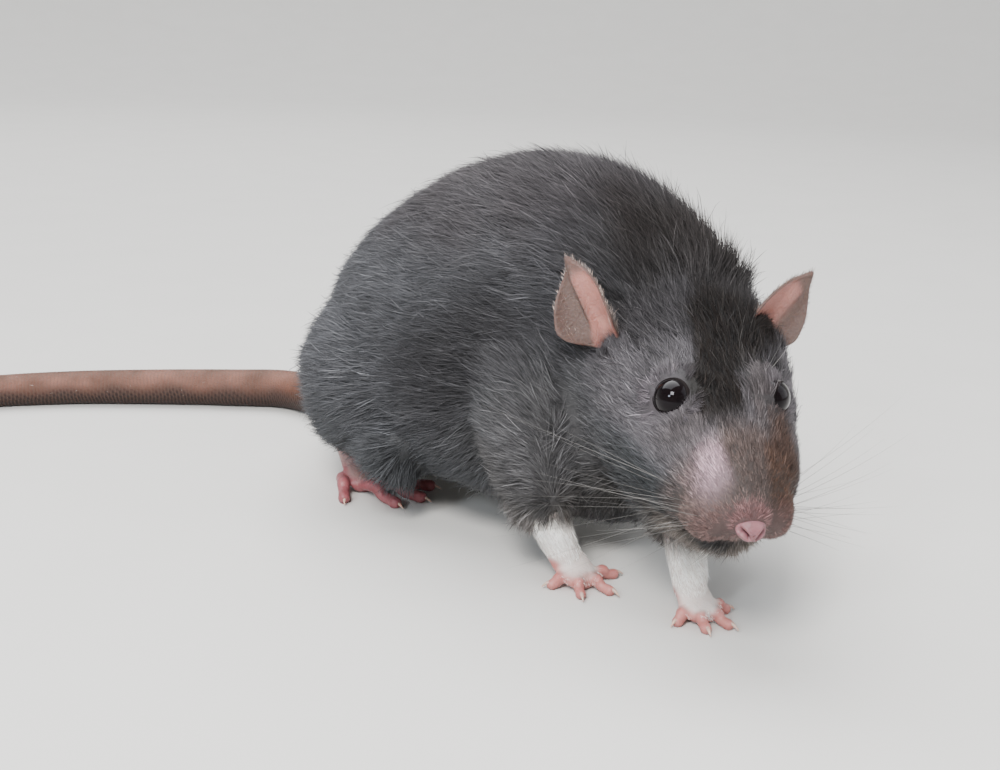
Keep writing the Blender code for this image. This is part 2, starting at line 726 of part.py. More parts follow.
def tail_rows(count):
    """Return rows of x, y, z and radius along the tail, resting on the floor."""
    rows = smooth_rows([(x, y, 0.0, r) for x, y, r in TAIL_ROWS], count)
    rows[:, 2] = rows[:, 3] - TAIL_FLAT
    share = np.linspace(0, 1, count)
    root, height = TAIL_RAISED
    rows[:, 2] += root * np.clip(1 - share / 0.09, 0, 1) ** 1.4 + height * np.clip(1 - share / 0.13, 0, 1)
    return rows


def tail_length(index, grow=0.0):
    """Return one length of the tail with flat ends, flattened where it rests."""
    rows = tail_rows(241)
    start, end = (int(round(share * 240)) for share in TAIL_LENGTHS[index:index + 2])
    part = rows[start:end + 1]
    tangent = unit(np.gradient(rows[:, :3], axis=0))
    picks = np.linspace(0, len(part) - 1, 7).round().astype(int)
    part = part[picks].copy()
    part[0, :3] += tangent[start] * (GAP / 2 if index > 0 else -grow)
    if end < 240:
        part[-1, :3] -= tangent[end] * GAP / 2
    caps = (0.0, 0.0 if end < 240 else float(part[-1, 3]))
    size = part[:, 3] + grow
    tube = loft(f"tail_{index + 1}", part[:, :3], size, size, size, 14, caps,
                tangent=tangent[start + picks])
    return cut_beyond(tube, (0, 0, 0), (0, 0, -1)) if not grow else tube


# The whole rat

def cut_solids(grow):
    """Return the solids that part the limbs from the trunk, larger by grow."""
    solids = {}
    for side in ("right", "left"):
        place = mirrored if side == "left" else np.array
        radii = tuple(radius + grow for radius in THIGH_CUT_RADII)
        solids[f"thigh_{side}"] = ellipsoid("cut", place(THIGH_CUT), radii, 16, 12)
        solids[f"shank_{side}"] = limb("cut", place(SHANK_CUT), 5, 12, grow=grow)
    solids["upper_arm_right"] = limb("cut", ARM_CUT_RIGHT, 6, 12, grow=grow, side=(1, 0, 0))
    solids["upper_arm_left"] = limb("cut", ARM_CUT_LEFT, 6, 12, grow=grow, side=(1, 0, 0))
    return solids


def head_solid(grow):
    """Return the solid that holds the head, larger by grow on every side."""
    outline = np.array(HEAD_CUT, float)
    behind = unit(outline - np.roll(outline, 1, axis=0))
    ahead = unit(np.roll(outline, -1, axis=0) - outline)
    normals = [np.column_stack([-edge[:, 1], edge[:, 0]]) for edge in (behind, ahead)]
    bisector = normals[0] + normals[1]
    outline = outline + grow * 2 * bisector / (bisector**2).sum(1, keepdims=True)
    count = len(outline)
    points = [(sign * HEAD_CUT_HALF_WIDTH, y, z) for sign in (-1, 1) for y, z in outline]
    faces = [(k, (k + 1) % count, count + (k + 1) % count, count + k) for k in range(count)]
    faces += [tuple(range(count)), tuple(range(count, 2 * count))]
    solid = make_object("head_solid", points, faces)
    solid.data.transform(head_matrix())
    return solid


def part_body(body):
    """Divide the body into head, neck, torso, upper arms, thighs and shanks."""
    inner, outer = cut_solids(-GAP / 2), cut_solids(GAP / 2)
    frame = head_matrix()
    margin = HEAD_CUT[1][0] + 3.0
    head = slice_off(duplicate(body, "head"), frame @ Vector((0, margin, 0)),
                     frame.to_3x3() @ Vector((0, 1, 0)))
    simplify(head, HEAD_TRIANGLES)
    simplify(body, BODY_TRIANGLES)
    parts = {}
    for name in ("upper_arm_right", "upper_arm_left", "shank_right", "shank_left"):
        parts[name] = combine(duplicate(body, name), inner.pop(name), "INTERSECT")
    for side in ("right", "left"):
        name = f"thigh_{side}"
        thigh = combine(duplicate(body, name), inner.pop(name), "INTERSECT")
        parts[name] = combine(thigh, outer[f"shank_{side}"], "DIFFERENCE", keep=True)
    combine(head, head_solid(-GAP / 2), "INTERSECT")
    combine(body, head_solid(GAP / 2), "DIFFERENCE")
    for name, solid in outer.items():
        if name.startswith("upper_arm"):
            combine(head, solid, "DIFFERENCE", keep=True)
        combine(body, solid, "DIFFERENCE")
    point, axis = np.array(NECK_CUT), unit(NECK_CUT_AXIS)
    body.name = "torso"
    parts["head"] = head
    parts["neck"] = cut_beyond(duplicate(body, "neck"), point - axis * GAP / 2, axis)
    parts["torso"] = cut_beyond(body, point + axis * GAP / 2, -axis)
    for part in parts.values():
        largest_body(part)
    return parts


def dress(thing, finish):
    """Give an object its own material of a finish."""
    colour, roughness = FINISHES[finish]
    material = bpy.data.materials.get(finish) or bpy.data.materials.new(finish)
    material.use_nodes = True
    shader = material.node_tree.nodes["Principled BSDF"]
    shader.inputs["Base Color"].default_value = (*colour, 1.0)
    shader.inputs["Roughness"].default_value = roughness
    shader.inputs["Metallic"].default_value = 0.0
    material.diffuse_color = (*colour, 1.0)
    thing.data.materials.clear()
    thing.data.materials.append(material)


def build():
    """Model every part of the rat and scale it to metres about its footprint's middle."""
    for thing in list(bpy.data.objects):
        bpy.data.objects.remove(thing)
    parts = part_body(body_form())
    for side in ("right", "left"):
        parts[f"ear_{side}"] = ear = make_ear(side)
        for name in ("head", "neck", "torso"):
            combine(ear, inflate(duplicate(parts[name], "clearance"), GAP), "DIFFERENCE")
    for side, sign in (("right", -1), ("left", 1)):
        add_lids(parts["head"], sign)
        parts[f"eye_{side}"] = make_eye(side)
        parts[f"forearm_{side}"] = forearm(side)
        parts[f"fore_paw_{side}"] = fore_paw(side)
        parts[f"hind_foot_{side}"] = hind_foot(side)
        for name in (f"upper_arm_{side}", "torso", "neck", "head"):
            combine(parts[name], forearm(side, GAP), "DIFFERENCE")
        for name in (f"shank_{side}", f"thigh_{side}", "torso"):
            combine(parts[name], metatarsus(side, GAP), "DIFFERENCE")
    add_nose_and_mouth(parts["head"])
    combine(parts["torso"], tail_length(0, GAP), "DIFFERENCE")
    for index in range(len(TAIL_LENGTHS) - 1):
        parts[f"tail_{index + 1}"] = tail_length(index)
    finishes = {"ear": "ear_skin", "eye": "eye_black", "tail": "tail_skin", "hind": "foot_skin",
                "fore": "foot_skin", "forearm": "coat_white"}
    corners = []
    for name, part in parts.items():
        largest_body(part)
        dress(part, finishes.get(name.split("_")[0], "coat_grey"))
        corners += [vert.co.copy() for vert in part.data.vertices]
    corners = np.array(corners)
    low, high = corners.min(0), corners.max(0)
    centre = Matrix.Translation((-(low[0] + high[0]) / 2, -(low[1] + high[1]) / 2, 0.0))
    for name, part in parts.items():
        part.name = name
        part.data.transform(Matrix.Scale(METRES_PER_MM, 4) @ centre)
        part.data.shade_smooth()
        part.data.set_sharp_from_angle(angle=math.radians(40))
    return parts


build()
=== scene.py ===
"""Looks of the pet rat: skin, coat, ears, eyes, nose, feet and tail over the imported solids.

Sizes are in millimetres in the rat's own frame, as in the part's source: the rat faces -Y,
its right side is -X and its soles lie in z = 0. RatFrame turns them into the row's metres.
"""

import logging
import math
from dataclasses import dataclass, field, replace
from enum import Enum

import bpy
import numpy as np
from mathutils import Matrix, Vector
from numpy.typing import NDArray

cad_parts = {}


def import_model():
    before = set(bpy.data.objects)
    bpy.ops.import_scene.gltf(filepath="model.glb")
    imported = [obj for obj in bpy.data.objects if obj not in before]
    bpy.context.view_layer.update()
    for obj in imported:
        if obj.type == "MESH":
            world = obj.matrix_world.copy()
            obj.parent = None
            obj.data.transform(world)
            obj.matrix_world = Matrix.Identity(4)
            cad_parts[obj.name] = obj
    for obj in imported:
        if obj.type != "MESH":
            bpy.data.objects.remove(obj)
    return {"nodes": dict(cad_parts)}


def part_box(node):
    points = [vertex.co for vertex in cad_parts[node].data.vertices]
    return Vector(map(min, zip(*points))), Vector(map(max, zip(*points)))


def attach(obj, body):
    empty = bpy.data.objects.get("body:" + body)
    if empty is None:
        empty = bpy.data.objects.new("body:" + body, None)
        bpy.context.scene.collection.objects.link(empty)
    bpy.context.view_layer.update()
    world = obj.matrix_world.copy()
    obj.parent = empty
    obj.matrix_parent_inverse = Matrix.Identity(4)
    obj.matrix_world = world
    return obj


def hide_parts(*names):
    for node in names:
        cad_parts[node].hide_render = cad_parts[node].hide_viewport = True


Array = NDArray[np.float64]
Faces = NDArray[np.int64]
Triple = tuple[float, float, float]
Colour = Triple
Rows = tuple[tuple[float, ...], ...]

METRES_PER_MM = 0.001
SEED = 20
log = logging.getLogger("pet_rat")


# Numbers and shapes

def unit(vectors: Array) -> Array:
    """Return vectors at length one, row by row.

    Args:
        vectors: one vector or rows of them.

    Returns:
        The same directions at length one.
    """
    vectors = np.asarray(vectors, float)
    return vectors / np.maximum(np.linalg.norm(vectors, axis=-1, keepdims=True), 1e-9)


def ease(value: Array, low: float, high: float) -> Array:
    """Return 0 below low, 1 above high and a smooth S curve between them.

    Args:
        value: numbers to map.
        low: start of the rise.
        high: end of the rise; it may be below low for a fall.

    Returns:
        Numbers from 0 to 1.
    """
    share = np.clip((np.asarray(value, float) - low) / (high - low), 0.0, 1.0)
    return share * share * (3.0 - 2.0 * share)


def bell(points: Array, centre: Triple, reach: float) -> Array:
    """Return a bell that is 1 at a centre and falls with the square of the distance.

    Args:
        points: rows of places.
        centre: the bell's middle.
        reach: distance at which it has fallen to about a third.

    Returns:
        One number per point.
    """
    away = ((points - np.asarray(centre, float)) ** 2).sum(-1)
    return np.exp(-away / reach**2)


def hump(value: Array, width: float) -> Array:
    """Return a hump that is 1 at zero and falls with the square of the value over its width."""
    return np.exp(-((value / width) ** 2))


def turns(count: int) -> Array:
    """Return angles all the way round, evenly spaced from zero."""
    return np.linspace(0, 2 * math.pi, count, endpoint=False)


def gaps(points: Array, line: Array) -> Array:
    """Return the distance of every point from every place of a line."""
    return np.sqrt(((points[:, None] - line[None]) ** 2).sum(-1))


def laid(directions: Array, normals: Array) -> Array:
    """Return directions laid into the planes that face along the normals."""
    return unit(directions - (directions * normals).sum(1, keepdims=True) * normals)


def waves(points: Array, size: float, seed: int, count: int = 7) -> Array:
    """Return smooth wandering noise, the mean of sine waves in random directions.

    Args:
        points: rows of places.
        size: length of the waves.
        seed: picks the directions.
        count: number of waves.

    Returns:
        One number per point, mostly within -1 and 1.
    """
    draw = np.random.default_rng(seed)
    directions = unit(draw.normal(size=(count, 3))) * (2 * math.pi / size)
    directions *= draw.uniform(0.6, 1.6, (count, 1))
    return np.sin(points @ directions.T + draw.uniform(0, 2 * math.pi, count)).sum(1) / math.sqrt(count)


def smooth_rows(rows: Array, count: int) -> Array:
    """Return rows along a smooth curve through given rows.

    Each span is a cubic whose slopes at both ends are the differences of the rows around.

    Args:
        rows: places in the first three columns, with any other sizes after them.
        count: number of rows wanted, evenly spaced along the curve.

    Returns:
        The new rows.
    """
    rows = np.asarray(rows, float)
    steps = np.linalg.norm(np.diff(rows[:, :3], axis=0), axis=1)
    knots = np.concatenate([[0.0], np.cumsum(steps)])
    slopes = np.gradient(rows, knots, axis=0)
    places = np.linspace(0.0, knots[-1], count)
    span = np.clip(np.searchsorted(knots, places, side="right") - 1, 0, len(steps) - 1)
    width = steps[span][:, None]
    t = ((places - knots[span]) / steps[span])[:, None]
    return (
        (2 * t**3 - 3 * t**2 + 1) * rows[span]
        + (t**3 - 2 * t**2 + t) * width * slopes[span]
        + (3 * t**2 - 2 * t**3) * rows[span + 1]
        + (t**3 - t**2) * width * slopes[span + 1]
    )


@dataclass
class Shell:
    """A mesh as plain arrays: points in the rat's millimetres and faces of four or three corners."""

    points: Array
    faces: Faces

    def turned(self, frame: Matrix) -> "Shell":
        """Return the shell in the frame's parent."""
        turn = np.array(frame)
        return Shell(self.points @ turn[:3, :3].T + turn[:3, 3], self.faces)


def join(shells: list[Shell]) -> Shell:
    """Return several shells as one, each kept whole.

    Args:
        shells: shells whose faces have the same number of corners.

    Returns:
        One shell with all their points and faces.
    """
    starts = np.cumsum([0] + [len(shell.points) for shell in shells[:-1]])
    faces = np.concatenate([shell.faces + start for shell, start in zip(shells, starts)])
    return Shell(np.concatenate([shell.points for shell in shells]), faces)


def grid_faces(rows: int, columns: int, first: int = 0) -> Faces:
    """Return the four-cornered faces of a grid that closes on itself across its columns.

    Args:
        rows: rings in the grid.
        columns: places in a ring.
        first: number of the first place.

    Returns:
        Rows of four corner numbers.
    """
    row, column = np.meshgrid(np.arange(rows - 1), np.arange(columns), indexing="ij")
    after = (column + 1) % columns
    corners = [row * columns + column, row * columns + after,
               (row + 1) * columns + after, (row + 1) * columns + column]
    return first + np.stack(corners, -1).reshape(-1, 4)


def outward(shell: Shell) -> Shell:
    """Return a closed shell of four-cornered faces with every face turned outward.

    Args:
        shell: the shell, changed in place.

    Returns:
        The same shell.
    """
    a, b, c, d = (shell.points[shell.faces[:, k]] for k in range(4))
    volume = (np.cross(b, c) * a).sum() + (np.cross(c, d) * a).sum()
    if volume < 0:
        shell.faces = shell.faces[:, [1, 0, 3, 2]]
    return shell


def ring_grid(surface: Array) -> Shell:
    """Return a shell from a grid that closes on itself along its rows and its columns.

    Args:
        surface: places by row and column.

    Returns:
        The shell.
    """
    rows, columns = surface.shape[:2]
    index = np.arange(rows * columns).reshape(rows, columns)
    after = np.roll(index, -1, 1)
    faces = np.stack([index, after, np.roll(after, -1, 0), np.roll(index, -1, 0)], -1)
    return outward(Shell(surface.reshape(-1, 3), faces.reshape(-1, 4)))


def closed_grid(surface: Array) -> Shell:
    """Return a shell from a grid of rings, closed across its columns and capped at both ends.

    Args:
        surface: places by ring and by column.

    Returns:
        A shell whose caps are fans of faces about the middle of the end rings.
    """
    rings, columns = surface.shape[:2]
    points = surface.reshape(-1, 3)
    poles = np.stack([surface[0].mean(0), surface[-1].mean(0)])
    count = len(points)
    column = np.arange(columns)
    after = (column + 1) % columns
    start = np.stack([after, column, np.full(columns, count), np.full(columns, count)], -1)
    end = (rings - 1) * columns
    close = np.stack([end + column, end + after, np.full(columns, count + 1),
                      np.full(columns, count + 1)], -1)
    faces = np.concatenate([grid_faces(rings, columns), start, close])
    return outward(Shell(np.vstack([points, poles]), faces))


def tube(rows: Array, around: int = 12, side: Triple | None = None,
         domes: tuple[bool, bool] = (True, True)) -> Shell:
    """Return a round tube along a path, its ends closed by domes where asked.

    A ring at each row is the row's place plus its radius times the cosine and sine of the
    angle along two directions across the path.

    Args:
        rows: x, y, z and radius along the path.
        around: number of columns.
        side: direction that the first column leans to.
        domes: whether the first and last ends are round.

    Returns:
        The closed shell.
    """
    centres, radii = rows[:, :3], rows[:, 3]
    tangent = unit(np.gradient(centres, axis=0))
    lean = np.broadcast_to(np.asarray(side if side else (0.0, 0.0, 1.0), float), centres.shape)
    sides = unit(np.cross(tangent, lean)) if side is None else laid(lean, tangent)
    ups = np.cross(sides, tangent)
    angle = turns(around)
    circle = np.cos(angle)[None, :, None] * sides[:, None] + np.sin(angle)[None, :, None] * ups[:, None]
    rings = centres[:, None] + radii[:, None, None] * circle
    bends = np.radians([60.0, 30.0])
    if domes[0]:
        caps = [centres[0] - tangent[0] * radii[0] * math.sin(a) + radii[0] * math.cos(a) * circle[0]
                for a in bends]
        rings = np.concatenate([np.stack(caps), rings])
    if domes[1]:
        caps = [centres[-1] + tangent[-1] * radii[-1] * math.sin(a)
                + radii[-1] * math.cos(a) * circle[-1] for a in bends[::-1]]
        rings = np.concatenate([rings, np.stack(caps)])
    return closed_grid(rings)


def ball(centre: Triple, radii: Triple, rings: int = 24, around: int = 32) -> Shell:
    """Return an ellipsoid: polar angle by row, angle around by column.

    Args:
        centre: its middle.
        radii: its three half sizes.
        rings: rings between the poles.
        around: places in a ring.

    Returns:
        The shell.
    """
    polar = np.linspace(0, math.pi, rings + 2)[1:-1, None]
    angle = turns(around)[None]
    surface = np.stack([np.sin(polar) * np.cos(angle), np.sin(polar) * np.sin(angle),
                        np.cos(polar) * np.ones_like(angle)], -1)
    shell = closed_grid(surface)
    shell.points[-2:] = [(0, 0, 1), (0, 0, -1)]
    shell.points = shell.points * np.asarray(radii, float) + np.asarray(centre, float)
    return shell


def loft(rows: Array, around: int, square: float, caps: tuple[float, float]) -> Shell:
    """Return a closed body of upright oval sections that share one side and one up direction.

    A section's half width multiplies the signed cosine, and its top or bottom height the
    signed sine, each to the power 2 / square.

    Args:
        rows: x, y, z, half width, height above and height below the middle.
        around: number of columns.
        square: 2 for ovals, more for squarer sections.
        caps: how far the domes at both ends stand out.

    Returns:
        The closed shell.
    """
    angle = turns(around)
    across = np.sign(np.cos(angle)) * np.abs(np.cos(angle)) ** (2.0 / square)
    rise = np.sign(np.sin(angle)) * np.abs(np.sin(angle)) ** (2.0 / square)
    bends = np.radians([75.0, 60.0, 45.0, 30.0, 15.0])
    start, end = rows[0], rows[-1]
    ahead = unit(rows[0, :3] - rows[1, :3])
    behind = unit(rows[-1, :3] - rows[-2, :3])
    first = [np.concatenate([start[:3] + ahead * caps[0] * math.sin(a), start[3:] * math.cos(a)])
             for a in bends]
    last = [np.concatenate([end[:3] + behind * caps[1] * math.sin(a), end[3:] * math.cos(a)])
            for a in bends[::-1]]
    rows = np.vstack([first, rows, last])
    height = np.where(rise > 0, rows[:, 4:5], rows[:, 5:6]) * rise
    surface = np.stack([
        rows[:, 0:1] + rows[:, 3:4] * across,
        np.repeat(rows[:, 1:2], around, 1),
        rows[:, 2:3] + height,
    ], -1)
    return closed_grid(surface)


# The rat's frame and its meshes

class RatFrame:
    """Turns the rat's millimetres into the row's metres and makes finished objects."""

    def __init__(self, eye_centre: Array) -> None:
        """Find the row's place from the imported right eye.

        Args:
            eye_centre: centre of the right eye in the rat's millimetres.
        """
        low, high = (np.array(corner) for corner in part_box("eye_right"))
        self.shift = (low + high) / 2 / METRES_PER_MM - eye_centre

    def metres(self, points: Array) -> Array:
        """Return the rat's millimetres as the row's metres."""
        return (np.asarray(points, float) + self.shift) * METRES_PER_MM

    def make(self, name: str, shell: Shell, material: bpy.types.Material,
             nodes: tuple[str, ...] = (), values: dict[str, Array] | None = None,
             patches: Array | None = None) -> bpy.types.Object:
        """Return a finished piece that rides on the one body.

        Args:
            name: the piece's name.
            shell: its surface in the rat's millimetres.
            material: its finish.
            nodes: solids that it stands for.
            values: attributes on its points, colours or single numbers.
            patches: places on the bake map, one per point.

        Returns:
            The object.
        """
        mesh = bpy.data.meshes.new(name)
        used = np.ones(shell.faces.shape, bool)
        used[:, -1] = shell.faces[:, -1] != shell.faces[:, -2]
        corners = shell.faces[used]
        sizes = used.sum(1)
        mesh.vertices.add(len(shell.points))
        mesh.vertices.foreach_set("co", self.metres(shell.points).astype(np.float32).ravel())
        mesh.loops.add(len(corners))
        mesh.loops.foreach_set("vertex_index", corners.astype(np.int32))
        mesh.polygons.add(len(sizes))
        mesh.polygons.foreach_set("loop_start", (np.cumsum(sizes) - sizes).astype(np.int32))
        mesh.polygons.foreach_set("use_smooth", np.ones(len(sizes), bool))
        mesh.update(calc_edges=True)
        if patches is not None:
            layer = mesh.uv_layers.new(name="OFBake")
            layer.data.foreach_set("uv", patches[corners].astype(np.float32).ravel())
        for key, value in (values or {}).items():
            if value.ndim == 2:
                attribute = mesh.attributes.new(key, "FLOAT_COLOR", "POINT")
                filled = np.column_stack([value, np.ones(len(value))])
                attribute.data.foreach_set("color", filled.astype(np.float32).ravel())
            else:
                attribute = mesh.attributes.new(key, "FLOAT", "POINT")
                attribute.data.foreach_set("value", value.astype(np.float32))
        mesh.validate()
        thing = bpy.data.objects.new(name, mesh)
        bpy.context.scene.collection.objects.link(thing)
        mesh.materials.append(material)
        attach(thing, "root")
        if nodes:
            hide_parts(*nodes)
        log.info("%s: %d triangles", name, int((sizes - 2).sum()))
        return thing


def fused(shells: list[Shell], cell: float, smoothing: int) -> tuple[Array, Faces]:
    """Return one smooth closed surface around overlapping shells.

    Args:
        shells: overlapping closed shells.
        cell: size of the new faces.
        smoothing: rounds of smoothing.

    Returns:
        Points and four-cornered faces.
    """
    whole = join(shells)
    mesh = bpy.data.meshes.new("form")
    faces = [tuple(dict.fromkeys(face)) for face in whole.faces.tolist()]
    mesh.from_pydata(whole.points.tolist(), [], faces)
    form = bpy.data.objects.new("form", mesh)
    bpy.context.scene.collection.objects.link(form)
    cells = form.modifiers.new("cells", "REMESH")
    cells.mode = "VOXEL"
    cells.voxel_size = cell
    relax = form.modifiers.new("relax", "SMOOTH")
    relax.factor = 0.5
    relax.iterations = smoothing
    graph = bpy.context.evaluated_depsgraph_get()
    graph.update()
    made = bpy.data.meshes.new_from_object(form.evaluated_get(graph))
    points = np.empty(len(made.vertices) * 3)
    made.vertices.foreach_get("co", points)
    corners = np.empty(len(made.loops), np.int64)
    made.loops.foreach_get("vertex_index", corners)
    bpy.data.objects.remove(form)
    bpy.data.meshes.remove(mesh)
    bpy.data.meshes.remove(made)
    return points.reshape(-1, 3), corners.reshape(-1, 4)


def normals_of(points: Array, faces: Faces) -> Array:
    """Return the outward direction at each point, the mean of its faces' directions.

    Args:
        points: rows of places.
        faces: rows of four corner numbers.

    Returns:
        A unit row for each place.
    """
    a, b, c, d = (points[faces[:, k]] for k in range(4))
    face = np.cross(c - a, d - b)
    total = np.zeros_like(points)
    for axis in range(3):
        for k in range(4):
            total[:, axis] += np.bincount(faces[:, k], face[:, axis], len(points))
    return unit(total)


def relaxed(points: Array, faces: Faces, rounds: int, weight: Array | float = 1.0) -> Array:
    """Return points moved towards the mean of their neighbours, a few times over.

    Args:
        points: rows of places.
        faces: rows of four corner numbers.
        rounds: how many times.
        weight: how freely each place moves.

    Returns:
        The moved places.
    """
    pairs = np.concatenate([faces[:, [k, (k + 1) % 4]] for k in range(4)])
    count = np.bincount(pairs[:, 0], minlength=len(points))
    share = 0.5 * np.broadcast_to(weight, len(points))[:, None]
    for _ in range(rounds):
        mean = np.column_stack([
            np.bincount(pairs[:, 0], points[pairs[:, 1], axis], len(points)) for axis in range(3)
        ]) / np.maximum(count, 1)[:, None]
        points = points + share * (mean - points)
    return points


# Shader maths

class Value:
    """A socket of a material that Python's operators add Math nodes to."""

    def __init__(self, shader: "Shader", socket: bpy.types.NodeSocket) -> None:
        """Wrap a socket of a shader."""
        self.shader = shader
        self.socket = socket

    def _math(self, operation: str, *inputs: "Value | float") -> "Value":
        """Return the result of one Math node."""
        return self.shader.node("ShaderNodeMath", {"operation": operation}, dict(enumerate(inputs)))

    def __add__(self, other: "Value | float") -> "Value":
        """Return the sum."""
        return self._math("ADD", self, other)

    __radd__ = __add__

    def __sub__(self, other: "Value | float") -> "Value":
        """Return the difference."""
        return self._math("SUBTRACT", self, other)

    def __rsub__(self, other: float) -> "Value":
        """Return a number less this value."""
        return self._math("SUBTRACT", other, self)

    def __mul__(self, other: "Value | float") -> "Value":
        """Return the product."""
        return self._math("MULTIPLY", self, other)

    __rmul__ = __mul__

    def clipped(self) -> "Value":
        """Return the value held between 0 and 1."""
        return self.shader.node("ShaderNodeClamp", {}, {0: self})


class Shader:
    """Builds one node material around a Principled BSDF."""

    def __init__(self, name: str) -> None:
        """Start an empty material.

        Args:
            name: the material's name.
        """
        self.material = bpy.data.materials.new(name)
        self.material.use_nodes = True
        self.nodes = self.material.node_tree.nodes
        self.links = self.material.node_tree.links
        self.surface = self.nodes["Principled BSDF"]

    def node(self, kind: str, settings: dict[str, object], inputs: dict[int | str, object],
             output: int | str = 0) -> Value:
        """Add a node with settings and inputs.

        Args:
            kind: the node's type.
            settings: attributes set before the inputs; "stops" fills a colour ramp.
            inputs: values or sockets by index or name.
            output: which output is wanted.

        Returns:
            The wanted output.
        """
        made = self.nodes.new(kind)
        for key, value in settings.items():
            if key == "stops":
                ramp = made.color_ramp
                while len(ramp.elements) < len(value):
                    ramp.elements.new(0.5)
                for element, (place, colour) in zip(ramp.elements, value):
                    element.position = place
                    element.color = (*colour, 1.0)
            else:
                setattr(made, key, value)
        for key, value in inputs.items():
            if isinstance(value, Value):
                self.links.new(value.socket, made.inputs[key])
            else:
                made.inputs[key].default_value = value
        return Value(self, made.outputs[output])

    def place(self) -> Value:
        """Return the object coordinates."""
        return self.node("ShaderNodeTexCoord", {}, {}, "Object")

    def noise(self, scale: float, detail: float = 3.0, distortion: float = 0.0) -> Value:
        """Return noise of a scale in waves per metre."""
        inputs = {"Vector": self.place(), "Scale": scale, "Detail": detail, "Distortion": distortion}
        return self.node("ShaderNodeTexNoise", {}, inputs)

    def steps(self, value: Value, low: float, high: float) -> Value:
        """Return a ramp from black at low to white at high."""
        stops = [(low, (0, 0, 0)), (high, (1, 1, 1))]
        return self.node("ShaderNodeValToRGB", {"stops": stops}, {0: value})

    def grey(self, value: Value) -> Value:
        """Return a grey colour of a value's brightness."""
        return self.node("ShaderNodeCombineColor", {}, {0: value, 1: value, 2: value})

    def attribute(self, name: str, output: str = "Fac") -> Value:
        """Return an attribute of the mesh, as a number or a colour."""
        return self.node("ShaderNodeAttribute", {"attribute_name": name}, {}, output)

    def mix(self, share: Value | float, first: object, second: object, blend: str = "MIX") -> Value:
        """Return a mix of two colours."""
        inputs = {0: share, 6: self._colour(first), 7: self._colour(second)}
        return self.node("ShaderNodeMix", {"data_type": "RGBA", "blend_type": blend}, inputs, 2)

    @staticmethod
    def _colour(value: object) -> object:
        """Return a colour with its alpha, or the socket unchanged."""
        return value if isinstance(value, Value) else (*value, 1.0)

    def bump(self, height: Value, distance: float) -> Value:
        """Return a normal that shows a height in metres times distance."""
        inputs = {"Height": height, "Distance": distance, "Strength": 1.0}
        return self.node("ShaderNodeBump", {}, inputs)

    def done(self, inputs: dict[str, object]) -> bpy.types.Material:
        """Set the Principled BSDF's inputs and return the material.

        Args:
            inputs: a value or a number for each input, by its name.

        Returns:
            The node material.
        """
        for key, value in inputs.items():
            if isinstance(value, Value):
                self.links.new(value.socket, self.surface.inputs[key])
            else:
                self.surface.inputs[key].default_value = value
        return self.material


# Finishes

@dataclass(frozen=True)
class HairFinish:
    """Hair: its colour comes with the mesh, from root to tip."""

    name: str
    roughness: float = 0.52
    specular: float = 0.14

    def material(self) -> bpy.types.Material:
        """Return the hair's material.

        Returns:
            The node material.
        """
        shader = Shader(self.name)
        colour = shader.attribute("coat", "Color")
        streak = shader.noise(420.0, 2.0) * 0.5 + 0.75
        return shader.done({
            "Base Color": shader.mix(1.0, colour, shader.grey(streak), "MULTIPLY"),
            "Roughness": self.roughness,
            "Specular IOR Level": self.specular,
        })


@dataclass(frozen=True)
class HideFinish:
    """Skin under the coat, in the coat's own markings, with painted shade between the hairs."""

    name: str

    def material(self) -> bpy.types.Material:
        """Return the hide's material.

        Returns:
            The node material.
        """
        shader = Shader(self.name)
        colour = shader.attribute("coat", "Color")
        grain = shader.noise(900.0, 4.0)
        shade = shader.noise(260.0, 3.0) * 0.6 + 0.6
        return shader.done({
            "Base Color": shader.mix(1.0, colour, shader.grey(shade), "MULTIPLY"),
            "Roughness": 0.62,
            "Specular IOR Level": 0.3,
            "Normal": shader.bump(grain, 0.0004),
        })


@dataclass(frozen=True)
class FleshFinish:
    """Bare skin: two tones in soft patches, fine wrinkles and a faint wet shine."""

    name: str
    pale: Colour
    deep: Colour
    roughness: float = 0.45
    wrinkle: float = 0.0003
    patch: float = 190.0
    see_through: float = 0.12
    specular: float = 0.4

    def material(self) -> bpy.types.Material:
        """Return the bare skin's material.

        Returns:
            The node material.
        """
        shader = Shader(self.name)
        patches = shader.noise(self.patch, 4.0)
        share = shader.steps(patches, 0.35, 0.68)
        colour = shader.mix(share, self.pale, self.deep)
        tone = shader.attribute("tone")
        colour = shader.mix(tone, colour, tuple(0.45 * part for part in self.deep))
        colour = shader.mix(shader.attribute("furred"), colour, shader.attribute("coat", "Color"))
        fine = shader.noise(2600.0, 3.0)
        lines = shader.noise(900.0, 2.0)
        return shader.done({
            "Base Color": colour,
            "Roughness": shader.noise(700.0) * 0.2 + (self.roughness - 0.1),
            "Specular IOR Level": self.specular,
            "Subsurface Weight": self.see_through,
            "Subsurface Scale": 0.0015,
            "Subsurface Radius": (1.0, 0.35, 0.2),
            "Normal": shader.bump(fine * 0.5 + lines, self.wrinkle),
        })


